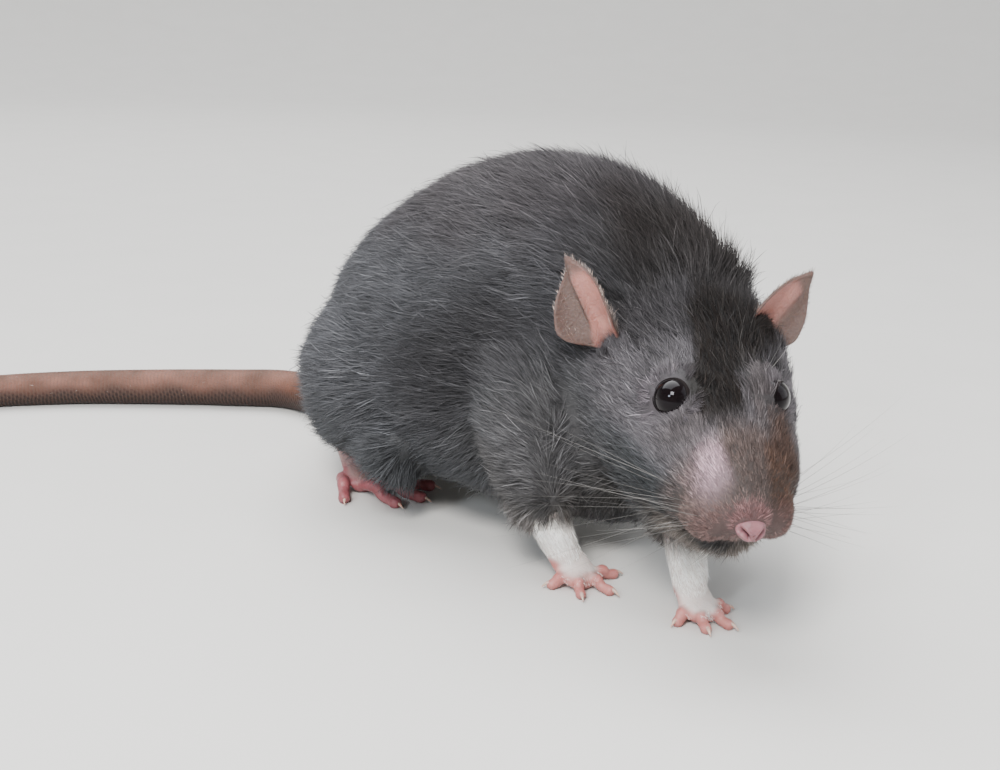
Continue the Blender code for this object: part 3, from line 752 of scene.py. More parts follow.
@dataclass(frozen=True)
class EarFinish:
    """Thin ear skin: pink where bare and lit through, grey-brown and pebbled on the outer part, darker
    deep in the cup where darker hair meets painted shade.
    """

    name: str = "ear_skin_thin"

    def material(self) -> bpy.types.Material:
        """Return the ears' material.

        Returns:
            The node material.
        """
        shader = Shader(self.name)
        soft = shader.noise(210.0, 4.0)
        pebble = shader.noise(2100.0, 2.0)
        veins = shader.noise(330.0, 4.0, 1.6)
        line = (veins - 0.5) * 9.0
        vein = (1.0 - line * line).clipped()
        pink = shader.mix(soft, (0.40, 0.185, 0.155), (0.31, 0.140, 0.118))
        pink = shader.mix(vein * 0.2, pink, (0.24, 0.09, 0.08))
        brown = shader.mix(pebble, (0.135, 0.088, 0.077), (0.072, 0.045, 0.038))
        colour = shader.mix(shader.attribute("brown"), pink, brown)
        # the tone attribute darkens the rim, the back and the cup's depth; in the depth this is darker
        # hair together with painted shade
        colour = shader.mix(shader.attribute("tone"), colour, (0.085, 0.045, 0.040))
        return shader.done({
            "Base Color": colour,
            "Roughness": 0.55,
            "Specular IOR Level": 0.3,
            "Subsurface Weight": 0.25,
            "Subsurface Scale": 0.0012,
            "Subsurface Radius": (1.0, 0.35, 0.2),
            "Normal": shader.bump(pebble + vein * 0.3, 0.00018),
        })


@dataclass(frozen=True)
class EyeFinish:
    """The wet black eyeball, with a deep brown glint in its depth."""

    name: str = "eye_wet_black"

    def material(self) -> bpy.types.Material:
        """Return the eye's material.

        Returns:
            The node material.
        """
        shader = Shader(self.name)
        depth = shader.noise(300.0, 2.0)
        return shader.done({
            "Base Color": shader.mix(depth, (0.002, 0.0015, 0.002), (0.006, 0.003, 0.003)),
            "Roughness": 0.03,
            "Specular IOR Level": 0.8,
            "Specular Tint": (0.15, 0.155, 0.17, 1.0),
        })


@dataclass(frozen=True)
class HornFinish:
    """Claws: thin translucent horn, pinker at the root."""

    name: str = "claw_horn"

    def material(self) -> bpy.types.Material:
        """Return the claws' material.

        Returns:
            The node material.
        """
        shader = Shader(self.name)
        tone = shader.attribute("tone")
        return shader.done({
            "Base Color": shader.mix(tone, (0.50, 0.36, 0.30), (0.40, 0.19, 0.16)),
            "Roughness": 0.32,
            "Subsurface Weight": 0.3,
            "Subsurface Scale": 0.0006,
            "Normal": shader.bump(shader.noise(3000.0), 0.00005),
        })


@dataclass(frozen=True)
class TailFinish:
    """The tail's ringed skin: pinkish brown rows of scales with darker seams, pale mottles and painted
    shade on its underside.
    """

    name: str = "tail_scales"

    def material(self) -> bpy.types.Material:
        """Return the tail's material.

        Returns:
            The node material.
        """
        shader = Shader(self.name)
        patches = shader.noise(120.0, 4.0)
        share = shader.steps(patches, 0.38, 0.66)
        colour = shader.mix(share, (0.088, 0.036, 0.021), (0.190, 0.083, 0.058))
        # painted shade: the underside mixed towards near black
        colour = shader.mix(shader.attribute("under"), colour, (0.016, 0.009, 0.008))
        colour = shader.mix(shader.attribute("tone") * 0.6, colour, (0.10, 0.055, 0.042))
        return shader.done({
            "Base Color": colour,
            "Roughness": 0.5,
            "Specular IOR Level": 0.25,
            "Subsurface Weight": 0.1,
            "Subsurface Scale": 0.001,
            "Normal": shader.bump(shader.noise(2400.0, 3.0), 0.0002),
        })


@dataclass(frozen=True)
class FloorFinish:
    """The plain pale studio floor."""

    name: str = "studio_floor"

    def material(self) -> bpy.types.Material:
        """Return the floor's material.

        Returns:
            The node material.
        """
        shader = Shader(self.name)
        grain = shader.noise(30.0, 2.0)
        return shader.done({
            "Base Color": shader.mix(grain, (0.60, 0.59, 0.57), (0.64, 0.63, 0.61)),
            "Roughness": 0.75,
        })


# The form under the coat

class Side(Enum):
    """A side of the rat and the sign of its x."""

    RIGHT = -1
    LEFT = 1

    @property
    def word(self) -> str:
        """Return the side's name in node names."""
        return self.name.lower()


@dataclass
class BodyForm:
    """The furred outline, out to the tips of the coat, from the same sizes as the solids.

    Trunk rows are y, x, top, bottom and half width; head rows are the distance behind the
    nose, level, half width, top and bottom; limb rows are x, y, z and radius.
    """

    trunk: Rows = (
        (-18, 6, 36, 12.5, 13.5), (-25, 6, 47.5, 10.0, 20.0), (-35, 6, 60, 6.5, 26.5),
        (-50, 5.5, 70, 5, 31), (-65, 5, 76.5, 5, 32.5), (-80, 5, 79.2, 5, 31.5),
        (-95, 6, 77, 5.5, 27.5), (-108, 8.5, 70.5, 7, 22), (-118, 11, 62.5, 11, 17.5),
    )
    head: Rows = (
        (1.2, -0.3, 3.0, 2.6, -2.8), (4, -0.8, 5.4, 5.0, -6.0), (8, -1.4, 9.0, 7.6, -8.8),
        (12, -2.2, 11.8, 9.6, -10.6), (17, -3.4, 14.0, 11.6, -12.4), (23, -4.5, 16.0, 13.6, -14.6),
        (30, -5.4, 17.7, 15.6, -16.6), (38, -6.0, 19.2, 17.2, -18.6), (46, -6.0, 20.8, 18.4, -20.0),
        (54, -6.0, 21.4, 18.8, -21.5),
    )
    jaw: Rows = (
        (9.0, -8.6, 3.0, 2.2), (14, -10.4, 4.6, 2.8), (22, -12.2, 7.4, 4.4), (32, -13.4, 10.0, 6.0),
    )
    neck: Rows = (
        (10, -101, 40, 20.5), (8.0, -112, 39.5, 20.8), (3.5, -121, 38, 19.2), (-1.5, -128, 36.5, 17.0))
    nose_tip: Triple = (-22.4, -154.1, 28.5)
    head_turn: float = 35.5
    head_down: float = 14.3
    whisker_pad: Triple = (5.3, 8.8, -2.4)
    pad_radii: Triple = (4.6, 6.6, 5.2)
    nose_pad: Triple = (0.0, 2.0, -0.9)
    nose_radii: Triple = (2.1, 1.6, 1.9)
    eye_centre: Triple = (8.5, 23.8, 9.5)
    eye_radius: float = 3.45
    eye_look: Triple = (0.70, -0.52, 0.48)
    lid_rise: float = 0.55
    lid_edge: float = 3.25
    eye_openings: dict[Side, Triple] = field(default_factory=lambda: {
        Side.RIGHT: (3.25, 3.28, 2.80), Side.LEFT: (2.9, 2.25, 2.65)})
    hip_x: float = 4.5
    haunch: Triple = (-12.0, -50.0, 28.0)
    haunch_radii: Triple = (20.0, 21.5, 20.5)
    shank: Rows = (
        (-20, -63, 17, 9.0), (-17, -49, 19.5, 8.0), (-11.5, -36, 21.5, 6.2))
    arms: dict[Side, Rows] = field(default_factory=lambda: {
        Side.RIGHT: ((-12, -93, 38, 12.5), (-15.5, -97, 26, 10.0), (-16.8, -101.5, 16.5, 7.0)),
        Side.LEFT: ((20, -100, 38, 12.0), (8, -113, 28, 10.0), (-3.5, -125.0, 18.0, 7.0))})

    def head_frame(self) -> Matrix:
        """Return the head's frame: x to the rat's left, y backwards, z up, from the nose.

        Returns:
            A matrix from the head's frame into the rat's.
        """
        turn = Matrix.Rotation(-math.radians(self.head_turn), 4, "Z")
        down = Matrix.Rotation(math.radians(self.head_down), 4, "X")
        return Matrix.Translation(self.nose_tip) @ turn @ down

    def in_head(self, points: Array) -> Array:
        """Return places of the rat's frame in the head's frame."""
        frame = np.array(self.head_frame())
        return (points - frame[:3, 3]) @ frame[:3, :3]

    def out_of_head(self, directions: Array) -> Array:
        """Return directions of the head's frame in the rat's frame."""
        return np.asarray(directions, float) @ np.array(self.head_frame())[:3, :3].T

    def mirrored(self, side: Side, rows: object) -> Array:
        """Return rows of the right hind limb for either side.

        Args:
            side: which side of the rat.
            rows: rows that start with x.

        Returns:
            The rows for that side.
        """
        rows = np.array(rows, float)
        if side is Side.LEFT:
            rows[..., 0] = 2 * self.hip_x - rows[..., 0]
        return rows

    def eye_frame(self, side: Side) -> Matrix:
        """Return an eye's frame: z along its look, y towards the brow, origin in its centre.

        Args:
            side: which eye.

        Returns:
            A matrix from the eye's frame into the rat's.
        """
        sign = side.value
        look = Vector((sign * self.eye_look[0], *self.eye_look[1:])).normalized()
        across = Vector((0, 0, 1)).cross(look).normalized()
        turn = Matrix((across, look.cross(across), look)).transposed().to_4x4()
        x, y, z = self.eye_centre
        return self.head_frame() @ Matrix.Translation((sign * x, y, z)) @ turn

    def eye_place(self, side: Side) -> Array:
        """Return an eye's centre in the rat's frame."""
        return np.array(self.eye_frame(side).translation)

    def opening(self, side: Side, points: Array) -> tuple[Array, Array, Array]:
        """Return where places stand about the oval opening between an eye's lids.

        Args:
            side: which eye.
            points: rows of places in the rat's frame.

        Returns:
            Places in the eye's frame, the smaller half size of the oval at each, and how far
            out each is: lid_edge on the oval itself, less within it and more outside.
        """
        frame = np.array(self.eye_frame(side))
        away = (points - frame[:3, 3]) @ frame[:3, :3]
        wide, above, below = self.eye_openings[side]
        tall = np.where(away[:, 1] > 0, above, below)
        across = np.hypot(away[:, 0] / wide, away[:, 1] / tall) * self.lid_edge
        return away, np.minimum(wide, tall), across

    def masses(self) -> list[Shell]:
        """Return the overlapping masses of trunk, head and limbs.

        Returns:
            Closed shells, in one list.
        """
        rows = smooth_rows([(x, y, (top + low) / 2, top, low, width)
                            for y, x, top, low, width in self.trunk], 60)
        middle = rows[:, 4] + 0.42 * (rows[:, 3] - rows[:, 4])
        trunk = loft(np.column_stack([rows[:, 0], rows[:, 1], middle, rows[:, 5],
                                      rows[:, 3] - middle, middle - rows[:, 4]]), 64, 2.15, (6.0, 6.0))
        rows = smooth_rows([(0, back, level, width, top - level, level - low)
                            for back, level, width, top, low in self.head], 48)
        head = [loft(rows, 56, 2.1, (1.0, 8.0))]
        rows = smooth_rows([(0, back, level, width, half, half)
                            for back, level, width, half in self.jaw], 20)
        head += [loft(rows, 32, 2.0, (1.8, 4.0)), ball(self.nose_pad, self.nose_radii)]
        for side in Side:
            x, y, z = self.whisker_pad
            head.append(ball((side.value * x, y, z), self.pad_radii))
            x, y, z = self.eye_centre
            head.append(ball((side.value * x, y, z), (self.eye_radius + self.lid_rise,) * 3))
        shells = [trunk, tube(smooth_rows(self.neck, 20), 40)]
        shells += [shell.turned(self.head_frame()) for shell in head]
        for side in Side:
            shells.append(ball(tuple(self.mirrored(side, self.haunch)), self.haunch_radii))
            shells.append(tube(smooth_rows(self.mirrored(side, self.shank), 14), 24))
            shells.append(tube(smooth_rows(self.arms[side], 14), 24, (1.0, 0.0, 0.0)))
        return shells


# Markings, painted shade and painted light, lie and length of the coat

class Tone(Enum):
    """The coat's colours, as linear values: its markings, with tones of painted shade and of painted
    light among them.
    """

    SLATE = (0.062, 0.063, 0.069)
    BACK = (0.044, 0.040, 0.043)
    # painted shade: the flank darker low down, where less light falls
    LOW_FLANK = (0.044, 0.046, 0.050)
    SHADE = (0.022, 0.021, 0.023)
    # painted light: a lighter patch on the shoulder below the head
    SHOULDER = (0.088, 0.086, 0.090)
    DARK = (0.018, 0.014, 0.012)
    # painted shade under the body and under the head
    BELLY = (0.026, 0.024, 0.022)
    CROWN = (0.025, 0.023, 0.025)
    BROW = (0.006, 0.004, 0.003)
    CHEEK = (0.087, 0.081, 0.088)
    STREAK = (0.061, 0.053, 0.055)
    RING = (0.098, 0.086, 0.096)
    BRIDGE = (0.062, 0.045, 0.041)
    MUZZLE = (0.104, 0.074, 0.067)
    # partly the fur's own brown, partly painted warm shade on the side of the muzzle away from the
    # lamps
    RUST = (0.046, 0.023, 0.014)
    PALE = (0.325, 0.222, 0.255)
    PINK = (0.150, 0.082, 0.082)
    JOWL = (0.029, 0.031, 0.033)
    CHIN = (0.120, 0.104, 0.094)
    FAWN = (0.130, 0.118, 0.112)


@dataclass
class CoatPlan:
    """What the coat does at each place of the skin: colour, depth, length, lift and lie."""

    form: BodyForm

    def head_share(self, points: Array) -> Array:
        """Return how far places belong to the head, from 0 to 1."""
        local = self.form.in_head(points)
        return ease(local[:, 1], 56, 42) * ease(local[:, 2], -27, -20)

    def depth(self, points: Array) -> Array:
        """Return how far the skin lies under the coat's tips.

        Args:
            points: rows of places in the rat's frame.

        Returns:
            A depth in millimetres for each.
        """
        local = self.form.in_head(points)
        face = 0.35 + 1.25 * ease(local[:, 1], 3, 40)
        share = self.head_share(points)
        depth = share * face + (1 - share) * 1.9
        for side in Side:
            depth -= 0.8 * depth * bell(points, tuple(self.form.eye_place(side)), 5.0)
        low = ease(points[:, 2], 26, 14)
        return depth * (1 - 0.35 * low)

    def colour(self, points: Array) -> Array:
        """Return the coat's colour: its markings, laid from the back down and then over the head, with
        painted shade on the low flank, under the body and head and behind the foreleg, painted light on
        the shoulder, and painted warm shade mixed with brown on the muzzle's left side.

        Args:
            points: rows of places in the rat's frame.

        Returns:
            A linear colour for each.
        """
        local = self.form.in_head(points)
        x, back, up = np.abs(local[:, 0]), local[:, 1], local[:, 2]
        y, z = points[:, 1], points[:, 2]
        wander = waves(points, 16.0, 3) * 2.0
        colour = np.tile(np.array(Tone.SLATE.value), (len(points), 1))

        def lay(tone: Tone, share: Array) -> None:
            """Blend a tone into the colour by a share."""
            nonlocal colour
            colour = colour + share[:, None] * (np.array(tone.value) - colour)

        lay(Tone.BACK, ease(z + wander, 52, 72))
        # painted shade low on the flank
        lay(Tone.LOW_FLANK, ease(z + wander, 30, 14))
        # painted shade under the body
        lay(Tone.BELLY, ease(z + wander, 11, 6))
        folded = np.column_stack([6 - np.abs(points[:, 0] - 6), y, z])
        shade = bell(folded, (-25.0, -82.0, 36.0), 14.0) + bell(folded, (-20.0, -95.0, 49.0), 10.0)
        lay(Tone.SHADE, 0.85 * np.clip(shade, 0, 1))
        nape = bell(points, (8.0, -116.0, 58.0), 22.0)
        lay(Tone.DARK, 0.75 * ease(nape + 0.05 * wander, 0.25, 0.9))
        share = self.head_share(points)
        signed = local[:, 0] + 0.35 * wander
        lay(Tone.CROWN, share * ease(up + wander, -2, 8))
        lay(Tone.CHEEK, share * ease(up + wander, -2, 2) * ease(up + wander, 12, 8)
            * ease(back, 50, 34))
        lay(Tone.CHEEK, share * 0.75 * bell(local, (-9.1, 29.0, 12.0), 4.0))
        lay(Tone.JOWL, share * ease(up + wander, 0, -4))
        # painted shade under the head
        lay(Tone.BELLY, share * ease(up + wander, -11, -15))
        lay(Tone.CHIN, share * ease(up + 0.5 * wander, -7, -9) * ease(back, 20, 12))
        lay(Tone.MUZZLE, share * ease(back, 13, 7) * ease(up, -9, -5))
        # painted light on the shoulder, below the head
        lay(Tone.SHOULDER, np.clip(1.3 * bell(folded, (-18.5, -107.0, 28.0), 12.0), 0, 0.9))
        for side in Side:
            local_side = local * np.array([side.value, 1.0, 1.0])
            ring = bell(local_side, tuple(np.array(self.form.eye_centre) + (0.9, 0.0, -0.3)), 5.0)
            lay(Tone.RING, share * ease(ring, 0.25, 0.7) * (1.0 if side is Side.RIGHT else 0.6))
        streak = bell(local, (-6.6, 14.6, 8.4), 3.2) + 0.8 * bell(local, (-8.8, 15.5, 5.5), 3.4)
        lay(Tone.STREAK, share * np.clip(streak, 0, 0.9))
        # the fur's own brown mixed with painted warm shade, on the muzzle's left side only
        lay(Tone.RUST, 0.85 * share * ease(signed, 2.0, 4.5) * ease(back, 22, 14) * ease(back, 1.5, 3.5)
            * ease(up, -5, 1) * ease(signed, 13, 9))
        centre = np.interp(back, [10, 18, 24, 30, 37, 46], [-1.0, -2.2, -1.6, 2.0, 6.5, 7.5])
        half = np.interp(back, [10, 18, 24, 30, 37, 46], [2.0, 4.0, 4.6, 5.6, 7.0, 7.5])
        band = ease(np.abs(signed - centre) - half, 1.2, -1.0)
        lay(Tone.BROW, share * band * ease(back, 11, 17) * ease(back + wander, 56, 40) * ease(up, 2, 6))
        strip = hump(signed - np.interp(back, [12, 17, 28], [3.6, 5.2, 8.4]), 1.9)
        lay(Tone.STREAK, share * strip * ease(back, 9, 13) * ease(back, 31, 25) * ease(up, 5, 8))
        lay(Tone.BRIDGE, share * ease(back, 15, 10) * ease(back, 2.0, 4.0) * ease(up, 1.5, 4)
            * ease(x, 4.2, 2.2))
        # the pale patch is laid on the right side only; the same place on the left takes the painted
        # warm shade above
        patch = np.clip(0.8 * bell(local, (-4.6, 9.2, 6.4), 2.1) + bell(local, (-4.7, 7.2, 4.9), 2.2)
                        + 0.5 * bell(local, (-6.2, 6.6, 2.6), 2.4), 0, 0.9)
        lay(Tone.PALE, share * patch * ease(-signed, 2.2, 3.6) * (1 + 0.12 * waves(points, 3.0, 8)))
        lip = 0.4 * ease(back, 6.0, 2.5) * ease(up, 2.5, 0)
        lay(Tone.PINK, share * np.maximum(ease(back, 3.2, 1.4), lip))
        lay(Tone.SHADE, 0.7 * bell(folded, (-25.0, -89.0, 40.0), 9.0))
        for side in Side:
            foot = np.array(self.form.arms[side][-1][:3])
            arm = np.exp(-((points[:, :2] - foot[:2]) ** 2).sum(1) / 90.0) * ease(z, 22, 17)
            lay(Tone.FAWN, np.clip(arm, 0, 0.75) * ease(z + 0.7 * wander, 18, 13))
        return colour

    def length(self, points: Array) -> Array:
        """Return the hairs' length.

        Args:
            points: rows of places in the rat's frame.

        Returns:
            A length in millimetres for each.
        """
        local = self.form.in_head(points)
        back = local[:, 1]
        share = self.head_share(points)
        body = 7.2 + 2.2 * bell(points, (8.0, -112.0, 64.0), 24.0) + 1.0 * ease(points[:, 1], -45, -25)
        body -= 2.0 * ease(points[:, 2], 16, 8)
        face = 1.7 + 2.6 * ease(back, 3, 20) + 2.5 * ease(back, 22, 46)
        chin = ease(local[:, 2], -6.5, -9.0) * ease(back, 2.0, 6.0) * ease(back, 34, 20)
        length = share * (face + 2.6 * chin) + (1 - share) * body
        for side in Side:
            short = 0.55 if side is Side.RIGHT else 0.3
            length -= short * length * bell(points, tuple(self.form.eye_place(side)), 5.0)
            foot = self.form.arms[side][-1][:3]
            length -= 0.35 * length * bell(points, foot, 11.0)
        return np.maximum(length, 0.8)

    def lift(self, points: Array) -> Array:
        """Return the angle at which the hairs leave the skin, in radians.

        Args:
            points: rows of places in the rat's frame.

        Returns:
            An angle for each.
        """
        share = self.head_share(points)
        local = self.form.in_head(points)
        chin = ease(local[:, 2], -6.5, -9.0) * ease(local[:, 1], 2.0, 6.0) * ease(local[:, 1], 30, 16)
        lift = 20.0 + 11.0 * bell(points, (6.0, -114.0, 62.0), 20.0) - 2.0 * share + 30.0 * share * chin
        for side in Side:
            lift -= 8.0 * bell(points, tuple(self.form.eye_place(side)), 5.0)
            ankle = np.array(self.form.arms[side][-1][:3])
            lift += 40.0 * bell(points, tuple(ankle - (0, 0, 4.0)), 7.0)
        return np.radians(lift)

    def lie(self, points: Array, normals: Array) -> Array:
        """Return the direction in which the hairs lie on the skin.

        It runs backwards over head and trunk, sinks on the low flank and the rump, runs down
        the limbs and away from each eye, and is then laid into the skin's plane.

        Args:
            points: rows of places in the rat's frame.
            normals: the skin's outward direction at each.

        Returns:
            A unit direction for each.
        """
        local = self.form.in_head(points)
        y, z = points[:, 1], points[:, 2]
        sink = 0.10 + 0.35 * ease(z, 38, 12) + 0.9 * ease(y, -42, -18)
        trunk = np.column_stack([0.06 * np.sign(points[:, 0] - 6.0), np.ones(len(points)), -sink])
        fan = np.column_stack([0.012 * local[:, 0], np.ones(len(points)),
                               -0.25 * ease(local[:, 2], 4, -10)])
        share = ease(local[:, 1], 62, 44) * ease(local[:, 2], -27, -20)
        lie = unit(self.form.out_of_head(fan)) * share[:, None] + unit(trunk) * (1 - share)[:, None]
        for side in Side:
            rows = np.array(self.form.arms[side])
            near = bell(points, tuple(rows[2, :3]), 13.0) + 0.8 * bell(points, tuple(rows[1, :3]), 11.0)
            down = unit(rows[2, :3] - rows[0, :3])
            weight = np.clip(near, 0, 1)[:, None] * (1 - share)[:, None]
            lie = lie * (1 - weight) + down * weight
            eye = self.form.eye_place(side)
            away = unit(points - eye)
            parting = 0.75 if side is Side.RIGHT else 0.3
            weight = parting * np.clip(1.6 * bell(points, tuple(eye), 5.2), 0, 1)[:, None]
            lie = lie * (1 - weight) + away * weight
        lie += 0.13 * np.column_stack([waves(points, 22.0, 11 + k) for k in range(3)])
        return laid(lie, normals)


@dataclass
class Hide:
    """The one skin under the coat, with eye sockets and the line of the mouth."""

    form: BodyForm
    plan: CoatPlan
    cell: float = 0.72
    smoothing: int = 12
    mouth: Rows = (
        (-6.6, 17.0, -8.6), (-5.6, 11.5, -7.6), (-3.0, 7.2, -6.3), (0, 5.4, -5.7),
        (3.0, 7.2, -6.3), (5.6, 11.5, -7.6), (6.6, 17.0, -8.6))
    cleft: Rows = (
        (0, -0.4, -1.6), (0, 1.2, -3.4), (0, 4.4, -5.6))
    points: Array = field(default_factory=lambda: np.zeros((0, 3)))
    faces: Faces = field(default_factory=lambda: np.zeros((0, 4), np.int64))
    normals: Array = field(default_factory=lambda: np.zeros((0, 3)))

    def shape(self) -> None:
        """Work out the skin: the outline sunk by the coat's depth, then relaxed and detailed."""
        points, faces = fused(self.form.masses(), self.cell, self.smoothing)
        normals = normals_of(points, faces)
        points = points - self.plan.depth(points)[:, None] * normals
        points = relaxed(points, faces, 5)
        normals = normals_of(points, faces)
        local = self.form.in_head(points)
        for path, depth, width in ((self.mouth, 0.8, 0.6), (self.cleft, 0.6, 0.5)):
            line = smooth_rows(path, 60)
            near = np.flatnonzero(local[:, 1] < 24)
            gap = gaps(local[near], line).min(1)
            points[near] -= (depth * hump(gap, width))[:, None] * normals[near]
        for side in Side:
            frame = np.array(self.form.eye_frame(side))
            away, half, across = self.form.opening(side, points)
            rim = across - 3.2
            near = (away[:, 2] > -2.5) * ease(across, 8.5, 6.0)
            floor = np.sqrt(self.form.eye_radius**2 - half**2) - 0.25
            high, low = floor + 0.42 * np.maximum(rim, 0), floor - 0.1 - 0.62 * np.maximum(rim, 0)
            level = away[:, 2]
            wanted = np.where(level > high, high + 0.2 * (level - high), np.maximum(level, low))
            points += (near * (wanted - level))[:, None] * frame[:3, 2]
            away = (points - frame[:3, 3]) @ frame[:3, :3]
            close = (away[:, 2] > -0.5) * (np.linalg.norm(away, axis=1) < 7.0)
            share = ease(across, 3.32, 2.92) * close
            inside = frame[:3, 3] + unit(points - frame[:3, 3]) * (self.form.eye_radius - 0.9)
            points += share[:, None] * (inside - points)
        points[:, 2] = np.maximum(points[:, 2], 0.6)
        self.points, self.faces = points, faces
        self.normals = normals_of(points, faces)

    def build(self, frame: RatFrame, finish: HideFinish) -> bpy.types.Object:
        """Make the skin piece in the coat's markings, darkened as painted shade under the hairs.

        Args:
            frame: the rat's frame, which makes the piece.
            finish: the piece's finish.

        Returns:
            The piece.
        """
        nodes = ["head", "neck", "torso"]
        for side in Side:
            nodes += [f"{part}_{side.word}" for part in ("upper_arm", "thigh", "shank")]
        shell = Shell(self.points, self.faces)
        # painted shade: the coat's colour darkened for the skin deep under the hairs
        under = self.plan.colour(self.points) * 0.55
        return frame.make("skin", shell, finish.material(), tuple(nodes), {"coat": under})


def unwrapped(points: Array) -> Array:
    """Return places on an unwrap of the body: the angle round its long axis by the way along it.

    Args:
        points: rows of places in the rat's frame.

    Returns:
        A row of two shares, from 0 to 1, for each.
    """
    around = np.arctan2(points[:, 0] - 4.0, points[:, 2] - 30.0) / (2 * math.pi) + 0.5
    along = (points[:, 1] - points[:, 1].min()) / max(np.ptp(points[:, 1]), 1e-6)
    return 0.01 + 0.98 * np.column_stack([around, along])


# Hair

@dataclass
class Locks:
    """Small locks of hair: where each is rooted, how it lies and how its blades are set."""

    roots: Array
    normals: Array
    lie: Array
    length: Array
    lift: Array
    colour: Array
    blades: int = 14
    spread: float = 0.8
    half_width: float = 0.066
    pull: float = 0.55
    bend: float = 0.30
    sway: float = 0.11
    root_shade: float = 0.42
    sections: tuple[float, ...] = (0.0, 0.5, 1.0)
    pale_share: float = 0.06
    rough: float = 0.24
    clump: float = 0.16

    def chosen(self, mask: Array) -> "Locks":
        """Return some of the locks, by a mask over them."""
        rows = ("roots", "normals", "lie", "length", "lift", "colour")
        return replace(self, **{name: getattr(self, name)[mask] for name in rows})

    def grow(self, draw: np.random.Generator) -> tuple[Shell, Array, Array]:
        """Grow the blades.

        A blade starts beside its lock's root and runs along the lie. Its middle line at
        share t is t times the leaning direction less bend times t squared of the skin's
        direction, plus a sway to the side. Its offset from the lock fades with t, so the
        tips come together, and its width tapers to a point.

        Args:
            draw: the random numbers.

        Returns:
            The blades' shell of triangles, and each point's colour and place on the bake map.
        """
        count = len(self.roots) * self.blades
        pick = np.repeat(np.arange(len(self.roots)), self.blades)
        normal, lie = self.normals[pick], self.lie[pick]
        side = np.cross(normal, lie)
        angle = draw.uniform(0, 2 * math.pi, count)
        reach = self.spread * np.sqrt(draw.uniform(0, 1, count))
        offset = reach[:, None] * (np.cos(angle)[:, None] * lie + np.sin(angle)[:, None] * side)
        turn = draw.normal(0, 0.12, count)
        heading = np.cos(turn)[:, None] * lie + np.sin(turn)[:, None] * side
        lift = self.lift[pick] * draw.normal(1.0, 0.22, count)
        length = self.length[pick] * draw.uniform(0.72, 1.18, count)
        sway = length * draw.normal(0, self.sway, count)
        roll = draw.normal(0, 0.45, count)
        wide = np.cos(roll)[:, None] * np.cross(normal, heading) + np.sin(roll)[:, None] * normal
        width = self.half_width * draw.uniform(0.75, 1.25, count)
        root = self.roots[pick] + offset - 0.35 * normal
        lean = np.cos(lift)[:, None] * heading + np.sin(lift)[:, None] * normal
        tone = np.exp(draw.normal(0, self.rough, count)) * np.repeat(
            np.exp(draw.normal(0, self.clump, len(self.roots))), self.blades)
        pale = draw.uniform(0, 1, count) < self.pale_share
        base = self.colour[pick] * tone[:, None]
        base = np.where(pale[:, None], np.minimum(base * 1.55 + 0.012, 0.85), base)
        taper = np.interp(self.sections, [0.0, 0.35, 0.75, 1.0], [0.8, 1.0, 0.8, 0.0])
        rows, shades = [], []
        for t, share in zip(self.sections, taper):
            middle = (root + (t * length)[:, None] * lean
                      - (self.bend * t * t * length * np.sin(self.lift[pick] + 0.2))[:, None] * normal
                      + (t * t * sway)[:, None] * side - (self.pull * t**1.3) * offset)
            shade = self.root_shade + (1.12 - self.root_shade) * min(1.0, t / 0.6)
            if t < 1.0:
                edge = (share * width)[:, None] * wide
                rows += [middle - edge, middle + edge]
                shades += [shade, shade]
            else:
                rows.append(middle)
                shades.append(1.25)
        each = len(rows)
        points = np.stack(rows, 1).reshape(-1, 3)
        points[:, 2] = np.maximum(points[:, 2], 0.25)
        colour = (base[:, None] * np.array(shades)[None, :, None]).reshape(-1, 3)
        pattern = []
        for k in range(0, each - 3, 2):
            pattern += [(k, k + 1, k + 3), (k, k + 3, k + 2)]
        pattern.append((each - 3, each - 2, each - 1))
        faces = (np.arange(count)[:, None, None] * each + np.array(pattern)[None]).reshape(-1, 3)
        across = np.tile(np.append(np.tile([0.0, 1.0], (each - 1) // 2), 0.5), count)
        along = np.tile(np.repeat(self.sections, 2)[:each], count)
        patches = patches_of(np.column_stack([across, along]), unwrapped(np.repeat(root, each, 0)))
        return Shell(points, faces), np.clip(colour, 0.004, 0.9), patches


def patches_of(spots: Array, unwrap: Array, size: float = 0.003) -> Array:
    """Return each blade's small patch on the bake map, at its root's place of the unwrap.

    Args:
        spots: each point's place across and along its blade, from 0 to 1.
        unwrap: each point's root on an unwrap of the skin, from 0 to 1.
        size: a patch's side.

    Returns:
        Places on the bake map.
    """
    low, high = unwrap.min(0), unwrap.max(0)
    spread = 0.01 + 0.975 * (unwrap - low) / np.maximum(high - low, 1e-9)
    return spread + size * spots


# Bare parts

def strands(roots: Array, aims: Array, lengths: Array, radius: float, droop: Array,
            sections: int = 12) -> Shell:
    """Return long stiff hairs as thin round tapering tubes.

    A hair's middle line at share t is its root plus its length times t along its aim plus t
    squared along its droop. Its radius falls evenly to a sixth.

    Args:
        roots: where the hairs start.
        aims: their first directions.
        lengths: their lengths.
        radius: radius at the root.
        droop: how far the tips bend aside, as a share of the length.
        sections: rings along a hair.

    Returns:
        All the hairs as one shell.
    """
    share = np.linspace(0, 1, sections)
    made = []
    for root, aim, length, bend in zip(roots, unit(aims), lengths, droop):
        path = root + length * (share[:, None] * aim + (share**2)[:, None] * bend)
        size = radius * (1 - share * 5 / 6)
        made.append(tube(np.column_stack([path, size]), 4, domes=(False, False)))
    return join(made)


